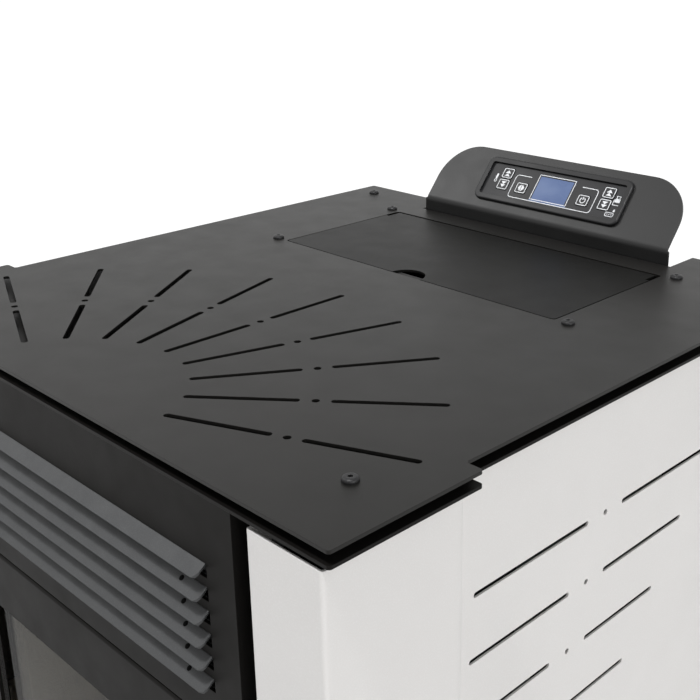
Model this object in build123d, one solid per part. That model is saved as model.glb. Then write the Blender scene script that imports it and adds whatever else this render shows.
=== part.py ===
from build123d import *
from math import cos, degrees, radians, sin, tan
import os

# Free-standing pellet stove. Millimetres. X runs to the right across the front, Y runs
# backwards from the front face, Z is height above the floor. Everything is drawn with Y
# measured from the front face; write() moves it back so that the origin lies on the floor
# under the middle of the whole outline.

# ---- whole stove ----
stove_height = 940.0  # floor to the upper surface of the top plate
body_width = 500.0
body_depth = 497.0  # front edge to rear edge of the top plates
handle_reach = 42.0  # door handle in front of the front face
pipe_reach = 45.0  # flue spigot behind the rear edge of the plates
centre_y = (body_depth + pipe_reach - handle_reach) / 2
plate_overhang = 6.0  # plates beyond the side panels
rear_overhang = 7.0  # plates beyond the rear panel
side_wide = body_width / 2 - plate_overhang
side_space = 94.0  # between the firebox and the side panels
box_half = side_wide - side_space
landing_w = 18.0  # rope-seal landing beside the firebox
flange_half = box_half + landing_w
post_beside = 4.0
post_inner = flange_half + post_beside
post_w = 16.4
post_outer = post_inner + post_w
side_edge_gap = 0.6
side_edge_x = post_outer + side_edge_gap
front_groove = 10.4  # dark groove between the front and the side panels
head_half = side_edge_x - front_groove
seat = 0.3  # gap that soft and loose pieces keep from what carries them
run_gap = 0.05  # radial running gap of a shaft in its bore

# ---- twin top plates ----
plate_t = 2.0
plate_gap = 6.0  # shadow gap between the two plates
wide_length = 103.5  # how far back the plates keep their full width
step_in = 12.0  # plates are narrower by this much on each side behind that
plate_corner_r = 2.0
cutout_half = 135.5  # rear cut-out for the control bracket
cutout_depth = 34.0
screw_r = 4.75  # button-head screws through both plates
screw_head_h = 2.6
screw_round = 1.95
screw_past = 4.0  # shank below the lower plate
screw_shank_r = 2.4
screw_socket_r = 1.6
screw_socket_floor = 0.8  # above the plate
screw_hole_r = 2.75
boss_r = 6.0
front_screw_in = 40.0  # in from the plates' side edges
front_screw_y = 50.0
rear_screw_in = 36.4
rear_screw_ahead = 23.2
lid_screw_out = 12.0  # beside the lid
lid_screw_behind = 5.5

# ---- fan of slots in the top plate ----
fan_centre_y = -2.7
fan_rays = 9
fan_pitch = 16.95  # degrees between rays
inner_slot = (86.0, 154.0)  # from and to, as radii from the fan's centre
outer_slot = (172.0, 240.0)
fan_slot_w = 4.4
fan_dot_r = 2.4
fan_dot_at = 163.1

# ---- hopper lid ----
lid_half = 142.5
lid_from_rear = 194.5
lid_front = body_depth - lid_from_rear
lid_length = 133.0
lid_gap = 1.0  # front and sides
lid_rear_gap = 3.0
lid_corner_r = 3.0
notch_r = 15.0
hinge_drop = 5.0  # lid pivot below the top surface
hinge_inset = 3.0  # lid pivot ahead of the lid's rear edge
hinge_pin_r = 1.25
knuckle_r = 2.5
knuckle_w = 2.8
knuckle_out = 1.0  # beside the lid seal
ear_out = 4.3
ear_w = 3.0
ear_room = 8.7  # lid edge cleared ahead of the ear
seal_w = 6.0
seal_half = 135.0
seal_behind = 2.0
seal_front = lid_front + seal_behind
seal_length = 121.0

# ---- control bracket and keypad ----
bracket_t = 2.0
riser_half = 132.0
riser_from_rear = 33.0
riser_y = body_depth - riser_from_rear
riser_below = 70.0  # how far the riser reaches below the top surface
bend_above = 12.0
bend_r = 7.0
face_lean = 40.0  # degrees back from vertical
face_length = 61.5
face_half = 130.5
face_corner_r = 38.0
foot_flange = 20.0  # turned down at the bracket's foot
foot_bend_r = 3.0
bezel_half = 78.0
bezel_from = 9.5  # distances up the face
bezel_to = 53.3
bezel_corner_r = 7.5
bezel_rim_w = 5.5
bezel_proud = 3.0
bezel_wall = 1.6
bezel_behind = 12.0
bezel_round = 1.6
tub_corner_r = 3.0
well_corner_r = 2.0
panel_proud = 0.8
panel_t = 1.6
panel_loose = 0.05  # round the keypad and the screen
screen_centre = 2.0
screen_w = 39.6
screen_h = 26.5
screen_from = 17.6
key_w = 12.0
key_h = 10.4
key_corner_r = 1.5
key_gap = 0.3
key_proud = 0.5
key_t = 2.2
key_plunger_r = 2.2
key_travel = 1.2  # free depth under the plunger
left_keys_x = -52.0
mode_key_x = -31.0
power_key_x = 36.0
right_keys_x = 58.0
key_row = 33.3  # distance up the face of the middle of the key pairs
key_row_step = 5.7
single_key_row = 27.4

# ---- louvred head panel ----
head_bottom = 150.8  # below the top surface
sheet_t = 2.0
window_margin = 23.3
window_half = head_half - window_margin
window_top = 48.2  # first window's top edge below the top surface
window_h = 8.7
window_pitch = 14.1
window_count = 6
louvre_gap = 1.0
louvre_half = window_half - louvre_gap
louvre_t = 1.5
louvre_reach = 7.5
louvre_drop = 5.9
louvre_corner_r = 4.5
louvre_tip = 0.45  # rise of the flap's lower edge over its thickness
louvre_bend = 0.2
grille_side = 8.0  # grille beyond the windows
grille_over = 6.0

# ---- door ----
door_gap = 1.7
door_bottom = 240.5
door_skin_t = 3.0
door_depth = 20.0
door_edge_r = 2.5
glass_drop = 45.7  # window's top edge below the top of the door
view_margin = 48.6
view_half = head_half - view_margin
view_short = 147.0  # window lower than the door by this much
view_corner_r = 6.0
frame_margin = 12.6
frame_half = head_half - frame_margin
frame_inset = 6.5
pocket_margin = 10.0
glass_margin = 8.5
glass_t = 4.0
glass_seal_t = 3.0
glass_seal_w = 9.0
clip_w = 24.0
clip_t = 1.5
clip_short = 2.0  # leaf beyond the edge of the view
clip_foot = 9.0
rope_w = 10.0
rope_inset = 3.0
rope_over = 10.0  # rope beyond the mouth of the firebox
rope_side_gap = 0.2
rope_round = 2.0
rope_out = 8.0
rope_centre = box_half + rope_out
hinge_inset_x = 7.6
hinge_x = hinge_inset_x - head_half
hinge_y = 10.0
door_knuckle_r = 6.5
door_pin_r = 3.0
hinge_ends = 110.0  # hinge lugs from the bottom and the top of the door
lug_h = 18.0
door_knuckle_h = 16.0
pin_head_t = 2.0
pin_head_in = 1.5  # pin heads smaller than the knuckle
spindle_boss_r = 6.8
spindle_boss_short = 0.5
lug_room = 10.0

# ---- door handle ----
spindle_inset = 7.6
spindle_x = head_half - spindle_inset
spindle_above = 200.0  # above the bottom of the door
spindle_r = 4.0
handle_hub_r = 7.4
handle_hub_t = 6.0
grip_r = 7.0
grip_length = 105.0
grip_start = 26.0
grip_round = 3.0
neck_r = 4.0
neck_bend_r = 10.0
neck_into = (4.0, 2.0, 6.0)  # into the hub, short of the grip's axis, into the grip
neck_drop = 8.0
cam_reach = 9.0
cam_r = 4.0
cam_hub_r = 4.6
cam_t = 4.0
cam_lean = 15.0  # degrees from straight up when released
cam_y = 12.0
keeper_beside = 8.5
keeper_x = spindle_x + keeper_beside
keeper_w = 6.5
keeper_t = 2.5
keeper_ahead = 4.0  # ahead of the cam's front
keeper_below = 2.0
keeper_above = 16.0

# ---- firebox ----
box_front = 27.0
box_from_rear = 237.0
box_back = body_depth - box_from_rear
box_t = 3.0
box_top = 45.0  # below the top surface
box_floor = 205.0
mouth_bottom = 272.0
mouth_below = 175.0
mouth_top = stove_height - mouth_below
flange_over = 20.0
board_t = 12.0
cradle_z = 300.0  # upper surface of the burn-pot cradle
cradle_t = 6.0
ledge_w = 8.0
ledge_h = 4.0
baffle_front = 60.0
baffle_t = 12.0
tube_r = 16.0
tube_wall = 1.5
tube_side = 35.0  # from the firebox's side to the outermost tubes' axes
tube_columns = 6
tube_pitch = 2 * (box_half - tube_side) / (tube_columns - 1)
tube_levels = (102.0, 64.0)  # below the top surface
tube_rows = [stove_height - level for level in tube_levels]
tube_behind = 3.0
drop_side = 50.0
drop_half = box_half - drop_side  # opening under the burn pot
drop_over = 30.0
smoke_slot_h = 24.0
smoke_lip = 4.0
chute_clear = 1.0
board_clear = 2.0  # round the chute in the rear fire board

# ---- burn pot ----
pot_half = 48.0
pot_ahead = 47.5  # front of the pot from the middle of the firebox
pot_front = (box_front + box_back) / 2 - pot_ahead
pot_length = 86.0
pot_wall = 5.0
pot_bottom = 268.0
pot_top = 345.0
pot_flange = 7.0
pot_flange_t = 4.0
pot_gap = 1.0
pot_hole_r = 2.0
pot_hole_pitch = 14.0
pot_hole_span = range(-2, 3)  # rows and columns about the middle
pot_corner_r = 8.0
pot_side_hole_over = 20.0  # side holes above the cradle
igniter_z = 282.0
igniter_r = 4.5
igniter_sleeve_r = 8.0
igniter_gap = 1.0  # behind the burn pot
igniter_bare = 30.0
igniter_tail = 40.0  # behind the firebox
sleeve_tail = 12.0

# ---- ash drawer ----
drawer_side = 10.0
drawer_half = box_half - drawer_side
drawer_bottom = 60.0
drawer_top = 195.0
drawer_short = 15.0
drawer_back = box_back - drawer_short
drawer_t = 1.5
drawer_lug_w = 20.0
drawer_face_bottom = 60.0
pull_half = 60.0
pull_h = 24.0
pull_depth = 18.0
runner_w = 26.0
runner_t = 4.0
pull_below = 20.0  # finger pull under the upper edge of the front
drawer_return = 12.0
fold_r = 1.0  # rounding of folded edges that face the door

# ---- chassis ----
base_z = 24.0
base_t = 3.0
side_step = 12.0
side_t = 1.5
base_side_gap = 1.5
base_half = side_wide - side_step - side_t - base_side_gap
base_front = 4.0
side_back = body_depth - rear_overhang
base_back = side_back - side_t
post_front = 24.0
post_t = 2.0
post_depth = 40.0
rail_h = 15.0
foot_r = 20.0
foot_h = 12.0
foot_round = 4.0
foot_screw_r = 5.0
foot_screw_top = 50.0
foot_side = 30.0
foot_x = base_half - foot_side
foot_front_y = 60.0
foot_ahead = 48.5
foot_rear_y = base_back - foot_ahead
foot_nut_r = 9.0
foot_nut_h = 8.0
rear_post_w = 22.0
rail_start = 20.0  # behind the step of the side panels
lip_h = 25.0
tab_h = 60.0
tab_behind = 10.0
sill_over = 8.0
sill_gap = 2.0
lug_half_t = 3.5

# ---- side panels ----
side_return = 14.0
side_face_y = 1.0
side_step_y = 96.0
side_step_run = 9.0
side_bend_r = 2.5
side_bottom = 32.0
side_top_gap = 4.0
side_back_return = 17.0
slot_rows = 7
slot_top = 89.5  # first row below the top surface
slot_pitch = 42.5
slot_mid_y = 243.1
slot_mid_step = 17.0
slot_half = 124.7
slot_half_step = 14.1
slot_inner = 18.2
side_slot_w = 3.5
side_dot_r = 1.9
side_lip_r = 1.6  # bend beside the front
side_step_r = 10.0

# ---- rear panel ----
rear_t = 1.5
rear_bottom = 40.0
rear_below = 16.0
rear_top = stove_height - rear_below
vent_count = 14
vent_w = 60.0
vent_h = 4.0
vent_pitch = 12.0
vent_x = 110.0
vent_bottom = 270.0

# ---- hopper ----
hopper_beside = 7.5
hopper_half = lid_half + hopper_beside
hopper_ahead = 12.5  # of the lid
hopper_behind = 14.5
hopper_front = lid_front - hopper_ahead
hopper_back = lid_front + lid_length + hopper_behind
hopper_t = 1.5
hopper_flange = 12.0
hopper_back_flange = 4.0
hopper_straight = 690.0  # height where the sloping walls begin
hopper_mouth_z = 525.0
mouth_half = 28.0
mouth_behind = 74.0
mouth_front = hopper_front + mouth_behind
mouth_length = 39.0
guard_bar_r = 2.0
guard_bars = 9
guard_drop = 40.0
guard_rim = (3.0, 6.0)  # thickness and height of the rim

# ---- auger ----
auger_slope = 50.0  # degrees above horizontal
auger_ahead = 72.0
auger_top_y = mouth_front - auger_ahead
auger_top_z = 560.0
auger_length = 190.0
auger_r = 30.0
auger_wall = 2.0
screw_clear = 3.0
screw_end_gap = 1.0  # between the screw and the ends of the tube
screw_lead = 14.0  # plain core before the first flight
flight_root = 1.0  # flight let into the core
shaft_tail = 10.0  # shaft inside the gearmotor
bore_spare = 4.0
collar_h = 60.0
collar_flange = (10.0, 2.0)  # reach and thickness
screw_core_r = 8.0
screw_pitch = 38.0
screw_turns = 4
flight_t = 3.0
chute_r = 25.0
chute_length = 112.0
chute_slope = 45.0
chute_behind = 14.0  # start of the chute from the top of the auger
chute_below = 12.0
motor_r = 34.0
motor_length = 78.0
gearbox_length = 30.0
motor_slimmer = 8.0
shaft_r = 5.0

# ---- smoke fan and flue ----
smoke_side = 35.0
smoke_x = smoke_side - box_half
smoke_z = 150.0
smoke_r = 76.0
smoke_behind = 28.0
smoke_front = box_back + smoke_behind
smoke_depth = 52.0
smoke_wall = 2.0
smoke_wheel_r = 58.0
smoke_inlet_r = 28.0
smoke_motor_r = 36.0
smoke_motor_l = 60.0
smoke_wheel_gap = 6.0  # ahead of and behind the wheel
smoke_blades = 8
smoke_hub_r = 10.0
smoke_blade_from = 8.0
smoke_disc_t = 2.0
wheel_shaft_past = 10.0  # shaft inside the motor
motor_round = 6.0
motor_bore = 20.0
duct_half = 28.0
duct_below = 125.0
duct_top = stove_height - duct_below
duct_bottom = 100.0
outlet_h = 50.0
flue_x = 3.0
flue_z = 110.0
flue_r = 40.0
flue_wall = 2.0
flue_box_half = 41.5
flue_box_over = 4.0  # flue box above the spigot
flue_box_ahead = 12.5  # rear of the flue box ahead of the rear panel

# ---- room-air fan ----
fan_side = 5.0
fan_width = 100.0
fan_right = box_half - fan_side
fan_left = fan_right - fan_width
fan_behind = 85.0
fan_y = box_back + fan_behind
fan_z = 140.0
fan_volute_r = 82.0
fan_wheel_r = 54.0
fan_inlet_r = 40.0
fan_wall = 1.5
fan_blades = 24
fan_blade_w = 10.0
fan_blade_t = 1.6
fan_blade_in = 0.5
fan_disc_t = 2.0
fan_wheel_gap = 6.0  # beside the wheel
fan_hub_r = 11.0
fan_hub_l = 24.0
fan_shaft_past = 12.0
riser_depth = 26.0
riser_behind = 2.0
riser_front = box_back + riser_behind
hood_below = 122.0
hood_bottom = stove_height - hood_below
fan_motor_r = 34.0
fan_motor_l = 46.0

# ---- air intake, controls, inlet ----
intake_z = 238.0
intake_r = 25.0
intake_wall = 1.5
intake_reach = 32.0
intake_bead_r = 28.0
intake_bead_ahead = 10.0
intake_bead_y = side_back - intake_bead_ahead
intake_bead_w = 4.0
intake_bead_into = 1.0
pipe_clear = 6.0  # round the pipes in the rear panel
board_box = (30.0, 150.0, 160.0)
board_bottom = 300.0
inlet_side = 69.0
inlet_x = side_wide - inlet_side
inlet_z = 90.0
inlet_half_w = 24.0
inlet_half_h = 32.0
inlet_rim = 2.0  # flange beyond the hole in the rear panel
inlet_flange_t = 3.0
inlet_corner_r = 4.0
inlet_depth = 34.0
socket_w = 28.0
socket_h = 20.0
socket_depth = 20.0
socket_below = 12.0
pin_pitch = 7.0
pin_size = (2.0, 15.0, 6.0)
pin_rise = 2.0  # middle pin above the outer ones
switch_depth = 12.0
stub_length = 3.0
stub_buried = 0.5
rocker_half_w = 6.5
rocker_half_h = 10.5
rocker_r = 1.5
rocker_depth = 2.0  # pivot ahead of the rear face
rocker_above = 16.0  # above the middle of the inlet
rocker_gap = 0.7  # round the rocker, so that it tips freely
rocker_foot = (4.0, 6.0)  # depth and half height behind the pivot
rocker_lip = (3.2, 5.2, 3.4)  # ends, crests and waist in front of the pivot
rocker_crest = 1.5

# ---- derived levels ----
lower_top = stove_height - plate_t - plate_gap
lower_bottom = lower_top - plate_t
panel_top = lower_bottom - side_top_gap
head_z = stove_height - head_bottom
door_top = head_z - door_gap
door_height = door_top - door_bottom
view_height = door_height - view_short
hinge_line_y = lid_front + lid_length - hinge_inset
hinge_line_z = stove_height - hinge_drop


def rear_face():
    """Outer face of the rear panel."""
    return side_back


def block(x0, x1, y0, y1, z0, z1):
    """A box between two corners."""
    size = (x1 - x0, y1 - y0, z1 - z0)
    return Pos((x0 + x1) / 2, (y0 + y1) / 2, (z0 + z1) / 2) * Box(*size)


def mirrored_blocks(near, far, *rest):
    """The same box on the left and on the right."""
    return [block(-far, -near, *rest), block(near, far, *rest)]


def rod(start, axis, radius, length):
    """A cylinder from a point along a direction."""
    return Plane(origin=start, z_dir=axis) * extrude(Circle(radius), length)


def pipe(start, axis, radius, wall, length):
    return rod(start, axis, radius, length) - rod(start, axis, radius - wall, length)


def frame_ring(half_out, half_in, z0, z1, z2, z3, y0, y1):
    """A rectangular ring standing in the XZ plane; z0, z3 outside and z1, z2 inside."""
    return block(-half_out, half_out, y0, y1, z0, z3) - block(-half_in, half_in, y0, y1, z1, z2)


def as_group(pieces):
    """Separate solids that share one node."""
    return Compound(children=[solid for piece in pieces for solid in piece.solids()])


def write(name, shape):
    export_step(Pos(0, -centre_y, 0) * shape, "parts/" + name + ".step")


# ------------------------------------------------------------------ top plates

def plate_outline():
    narrow = body_width / 2 - step_in
    wide = body_width / 2
    right = [(0, 0), (wide, 0), (wide, wide_length), (narrow, wide_length), (narrow, body_depth)]
    rear = [(cutout_half, body_depth), (cutout_half, body_depth - cutout_depth)]
    half = right + rear + [(0, body_depth - cutout_depth)]
    face = make_face(Polyline(*half, close=True))
    whole = face + mirror(face, Plane.YZ)
    return fillet(whole.vertices().filter_by(lambda v: abs(v.X) > cutout_half + 1), plate_corner_r)


def plate_screw_places():
    places = []
    lid_back = lid_front + lid_length
    for side in (-1, 1):
        places.append((side * (body_width / 2 - front_screw_in), front_screw_y))
        places.append((side * (body_width / 2 - rear_screw_in), body_depth - rear_screw_ahead))
        places.append((side * (lid_half + lid_screw_out), lid_front))
        places.append((side * (lid_half + lid_screw_out), lid_back + lid_screw_behind))
    return places


def slot_along(angle, near, far, width):
    middle = (near + far) / 2
    at = Pos(middle * sin(angle), fan_centre_y + middle * cos(angle), 0)
    return at * Rot(0, 0, 90 - degrees(angle)) * SlotOverall(far - near, width)


def fan_pattern():
    cuts = []
    for ray in range(fan_rays):
        angle = radians((ray - (fan_rays - 1) / 2) * fan_pitch)
        cuts.append(slot_along(angle, *inner_slot, fan_slot_w))
        cuts.append(slot_along(angle, *outer_slot, fan_slot_w))
        dot = Pos(fan_dot_at * sin(angle), fan_centre_y + fan_dot_at * cos(angle), 0)
        cuts.append(dot * Circle(fan_dot_r))
    return cuts


def lid_opening():
    width = 2 * (lid_half + lid_gap)
    length = lid_gap + lid_length + lid_rear_gap
    at = Pos(0, lid_front - lid_gap + length / 2, 0)
    return at * RectangleRounded(width, length, lid_corner_r)


def top_plate():
    face = plate_outline() - lid_opening()
    for cut in fan_pattern():
        face -= cut
    for x, y in plate_screw_places():
        face -= Pos(x, y, 0) * Circle(screw_hole_r)
    return Pos(0, 0, stove_height - plate_t) * extrude(face, plate_t)


def hinge_ear_span(side):
    """Where the fixed ear of a lid hinge stands."""
    near = seal_half + ear_out
    return sorted((side * near, side * (near + ear_w)))


def lower_plate():
    face = plate_outline()
    mouth_w = 2 * (seal_half - seal_w)
    mouth_l = seal_length - 2 * seal_w
    face -= Pos(0, seal_front + seal_length / 2, 0) * RectangleRounded(mouth_w, mouth_l, lid_corner_r)
    for x, y in plate_screw_places():
        face -= Pos(x, y, 0) * Circle(screw_hole_r)
    plate = Pos(0, 0, lower_bottom) * extrude(face, plate_t)
    for x, y in plate_screw_places():
        boss = Circle(boss_r) - Circle(screw_hole_r)
        plate += Pos(x, y, lower_top) * extrude(boss, plate_gap)
    for side in (-1, 1):
        x0, x1 = hinge_ear_span(side)
        ear = block(x0, x1, hinge_line_y - knuckle_r, hinge_line_y + knuckle_r, lower_top, hinge_line_z)
        ear += rod((x0, hinge_line_y, hinge_line_z), (1, 0, 0), knuckle_r, x1 - x0)
        plate += ear - rod((x0, hinge_line_y, hinge_line_z), (1, 0, 0), hinge_pin_r, x1 - x0)
    return plate


def lid_knuckle_span(side):
    near = seal_half + knuckle_out
    return sorted((side * near, side * (near + knuckle_w)))


def hopper_lid():
    face = Pos(0, lid_front + lid_length / 2, 0) * RectangleRounded(2 * lid_half, lid_length, lid_corner_r)
    face -= Pos(0, lid_front, 0) * Circle(notch_r)
    under = stove_height - plate_t
    lid = Pos(0, 0, under) * extrude(face, plate_t)
    back = hinge_line_y + knuckle_r + seat
    front = hinge_line_y - knuckle_r - ear_room
    for gap in mirrored_blocks(seal_half + ear_out - seat, lid_half, front, back, under, stove_height):
        lid -= gap
    for side in (-1, 1):
        x0, x1 = lid_knuckle_span(side)
        web = block(x0, x1, hinge_line_y - knuckle_r, hinge_line_y, hinge_line_z, under)
        lid += web + rod((x0, hinge_line_y, hinge_line_z), (1, 0, 0), knuckle_r, x1 - x0)
        lid -= rod((x0, hinge_line_y, hinge_line_z), (1, 0, 0), hinge_pin_r + run_gap, x1 - x0)
    return lid


def lid_hinge_pins():
    pins = []
    for side in (-1, 1):
        ends = lid_knuckle_span(side) + hinge_ear_span(side)
        length = max(ends) - min(ends)
        pins.append(rod((min(ends), hinge_line_y, hinge_line_z), (1, 0, 0), hinge_pin_r, length))
    return as_group(pins)


def lid_gasket():
    outside = RectangleRounded(2 * seal_half, seal_length, lid_corner_r)
    inside = RectangleRounded(2 * (seal_half - seal_w), seal_length - 2 * seal_w, lid_corner_r)
    at = Pos(0, seal_front + seal_length / 2, lower_top)
    return at * extrude(outside - inside, plate_gap - seat)


def top_screws():
    length = plate_t + plate_gap + plate_t + screw_past
    screws = []
    for x, y in plate_screw_places():
        head = Pos(x, y, stove_height) * extrude(Circle(screw_r), screw_head_h)
        head = fillet(head.edges().sort_by(Axis.Z)[-1], screw_round)
        head += rod((x, y, stove_height), (0, 0, -1), screw_shank_r, length)
        socket = extrude(RegularPolygon(screw_socket_r, 6), screw_head_h)
        screws.append(head - Pos(x, y, stove_height + screw_socket_floor) * socket)
    return as_group(screws)


# ------------------------------------------------------------------ control bracket

def face_plane(out=0.0):
    """Plane on the leaning face: local x across, local y up the face, z outwards."""
    lean = radians(face_lean)
    up = (0, sin(lean), cos(lean))
    normal = Vector(0, -cos(lean), sin(lean))
    origin = Vector(0, riser_y, stove_height + bend_above) + normal * out
    return Plane(origin=origin, x_dir=(1, 0, 0), z_dir=normal)


def on_face(sketch, out, thickness):
    return extrude(face_plane(out) * sketch, thickness)


def control_bracket():
    lean = radians(face_lean)
    bend_z = stove_height + bend_above
    end = (riser_y + face_length * sin(lean), bend_z + face_length * cos(lean))
    foot_z = stove_height - riser_below
    rear_y = rear_face() - rear_t - bracket_t / 2
    mid_y = riser_y + bracket_t / 2
    lift = bracket_t / 2
    knee = (mid_y, bend_z - lift * tan(lean / 2))
    corners = [(rear_y, foot_z - foot_flange), (rear_y, foot_z), (mid_y, foot_z), knee]
    tip = (end[0] + lift * cos(lean), end[1] - lift * sin(lean))
    points = [(0, y, z) for y, z in corners + [tip]]
    path = FilletPolyline(*points, radius=(foot_bend_r, foot_bend_r, bend_r))
    start = Plane(origin=path @ 0, z_dir=path % 0, x_dir=(1, 0, 0))
    sheet = sweep(start * Rectangle(2 * riser_half, bracket_t), path=path)
    blank = Pos(0, face_length / 2, 0) * Rectangle(2 * face_half, face_length)
    blank = fillet(blank.vertices().group_by(Axis.Y)[-1], face_corner_r)
    waste = Pos(0, face_length / 2, 0) * Rectangle(4 * face_half, face_length) - blank
    sheet -= extrude(face_plane(bracket_t) * waste, -4 * bracket_t)
    around = 2 * (bezel_wall + seat)
    in_w, in_h = well_size()
    outline = RectangleRounded(in_w + around, in_h + around, tub_corner_r)
    hole = Pos(0, (bezel_from + bezel_to) / 2, 0) * outline
    return sheet - extrude(face_plane(bracket_t) * hole, -4 * bracket_t)


def well_size():
    """Width and height of the inside of the bezel."""
    return 2 * (bezel_half - bezel_rim_w), bezel_to - bezel_from - 2 * bezel_rim_w


def control_bezel():
    at = Pos(0, (bezel_from + bezel_to) / 2, 0)
    outline = at * RectangleRounded(2 * bezel_half, bezel_to - bezel_from, bezel_corner_r)
    rim = on_face(outline, 0, bezel_proud)
    rim = fillet(rim.faces().sort_by(Axis(face_plane().origin, face_plane().z_dir))[-1].edges(), bezel_round)
    in_w, in_h = well_size()
    outside = at * RectangleRounded(in_w + 2 * bezel_wall, in_h + 2 * bezel_wall, tub_corner_r)
    tub = on_face(outside, -bezel_behind, bezel_behind)
    well = at * RectangleRounded(in_w, in_h, well_corner_r)
    return rim + tub - on_face(well, bezel_wall - bezel_behind, bezel_behind + bezel_proud)


def key_places():
    """Name and centre of each key, in face coordinates."""
    places = {}
    for side, x in (("left", left_keys_x), ("right", right_keys_x)):
        places[side + "_up_key"] = (x, key_row + key_row_step)
        places[side + "_down_key"] = (x, key_row - key_row_step)
    places["mode_key"] = (mode_key_x, single_key_row)
    places["power_key"] = (power_key_x, single_key_row)
    return places


def key_outline(name, grow=0.0):
    x, y = key_places()[name]
    return Pos(x, y, 0) * RectangleRounded(key_w + 2 * grow, key_h + 2 * grow, key_corner_r + grow)


def keypad_panel():
    in_w, in_h = well_size()
    at = Pos(0, (bezel_from + bezel_to) / 2, 0)
    sheet = at * RectangleRounded(in_w - 2 * panel_loose, in_h - 2 * panel_loose, well_corner_r)
    for name in key_places():
        sheet -= key_outline(name, key_gap)
    glass_at = Pos(screen_centre, screen_from + screen_h / 2, 0)
    sheet -= glass_at * Rectangle(screen_w + 2 * panel_loose, screen_h + 2 * panel_loose)
    return on_face(sheet, panel_proud - panel_t, panel_t)


def display_screen():
    glass = Pos(screen_centre, screen_from + screen_h / 2, 0) * Rectangle(screen_w, screen_h)
    depth = panel_proud + bezel_behind - bezel_wall
    return on_face(glass, bezel_wall - bezel_behind, depth)


def key_solid(name):
    top = panel_proud + key_proud - key_t
    base = bezel_wall - bezel_behind + key_travel
    plunger = Pos(*key_places()[name], 0) * Circle(key_plunger_r)
    return on_face(key_outline(name), top, key_t) + on_face(plunger, base, top - base)


# ------------------------------------------------------------------ louvred head panel

def window_tops():
    return [stove_height - window_top - row * window_pitch for row in range(window_count)]


def front_frame():
    panel = block(-head_half, head_half, 0, sheet_t, head_z, lower_bottom)
    for top in window_tops():
        panel -= block(-window_half, window_half, 0, sheet_t, top - window_h, top)
    panel = fillet(panel.edges().filter_by(Axis.X).group_by(Axis.Z)[0].sort_by(Axis.Y)[0], fold_r)
    for side in (-1, 1):
        x0, x1 = sorted((side * head_half, side * (head_half - sheet_t)))
        panel += block(x0, x1, sheet_t, post_front, head_z, lower_bottom)
    return panel


def louvre(top):
    """One flap: out through the window under its top edge, then bent down."""
    root = top - seat
    tip_z = root - louvre_drop
    under = root - louvre_t
    shape = make_face(Polyline(
        (sheet_t, root), (0.0, root), (-louvre_reach, tip_z), (-louvre_reach + louvre_t, tip_z - louvre_tip),
        (0.0, under - louvre_bend), (sheet_t, under), close=True))
    flap = Plane(origin=(-louvre_half, 0, 0), x_dir=(0, 1, 0), z_dir=(1, 0, 0)) * shape
    return extrude(flap, 2 * louvre_half)


def louvre_corner(side, root):
    """Waste outside the rounded lower corner of a flap."""
    x = side * louvre_half
    inner = x - side * louvre_corner_r
    tip = -louvre_reach
    ahead = tip - louvre_t
    corner = Polyline((x, ahead), (inner, ahead), (inner, tip))
    arc = RadiusArc((inner, tip), (x, tip + louvre_corner_r), -side * louvre_corner_r)
    close = Line((x, tip + louvre_corner_r), (x, ahead))
    return Pos(0, 0, root - window_h) * extrude(make_face(corner + arc + close), window_h)


def louvre_grille():
    tops = window_tops()
    half = window_half + grille_side
    low, high = tops[-1] - window_h - grille_over, tops[0] + grille_over
    grille = block(-half, half, sheet_t, sheet_t + louvre_t, low, high)
    for top in tops:
        grille -= block(-louvre_half, louvre_half, sheet_t, sheet_t + louvre_t,
                        top - window_h + seat, top - seat - louvre_t)
    for top in tops:
        grille += louvre(top)
    for top in tops:
        grille -= louvre_corner(-1, top - seat)
        grille -= louvre_corner(1, top - seat)
    return grille


# ------------------------------------------------------------------ door

view_top = door_top - glass_drop
view_bottom = view_top - view_height
ring_top = door_top - frame_inset
ring_bottom = door_bottom + frame_inset
rope_top = mouth_top + rope_over
rope_bottom = mouth_bottom - rope_over
glass_y = door_skin_t + glass_seal_t


def view_face(grow):
    """Window outline in the XZ plane, grown by a margin."""
    at = Plane(origin=(0, 0, (view_top + view_bottom) / 2), x_dir=(1, 0, 0), z_dir=(0, -1, 0))
    return at * RectangleRounded(2 * (view_half + grow), view_height + 2 * grow, view_corner_r)


def hinge_lug_levels():
    return [door_bottom + hinge_ends, door_top - hinge_ends]


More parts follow.
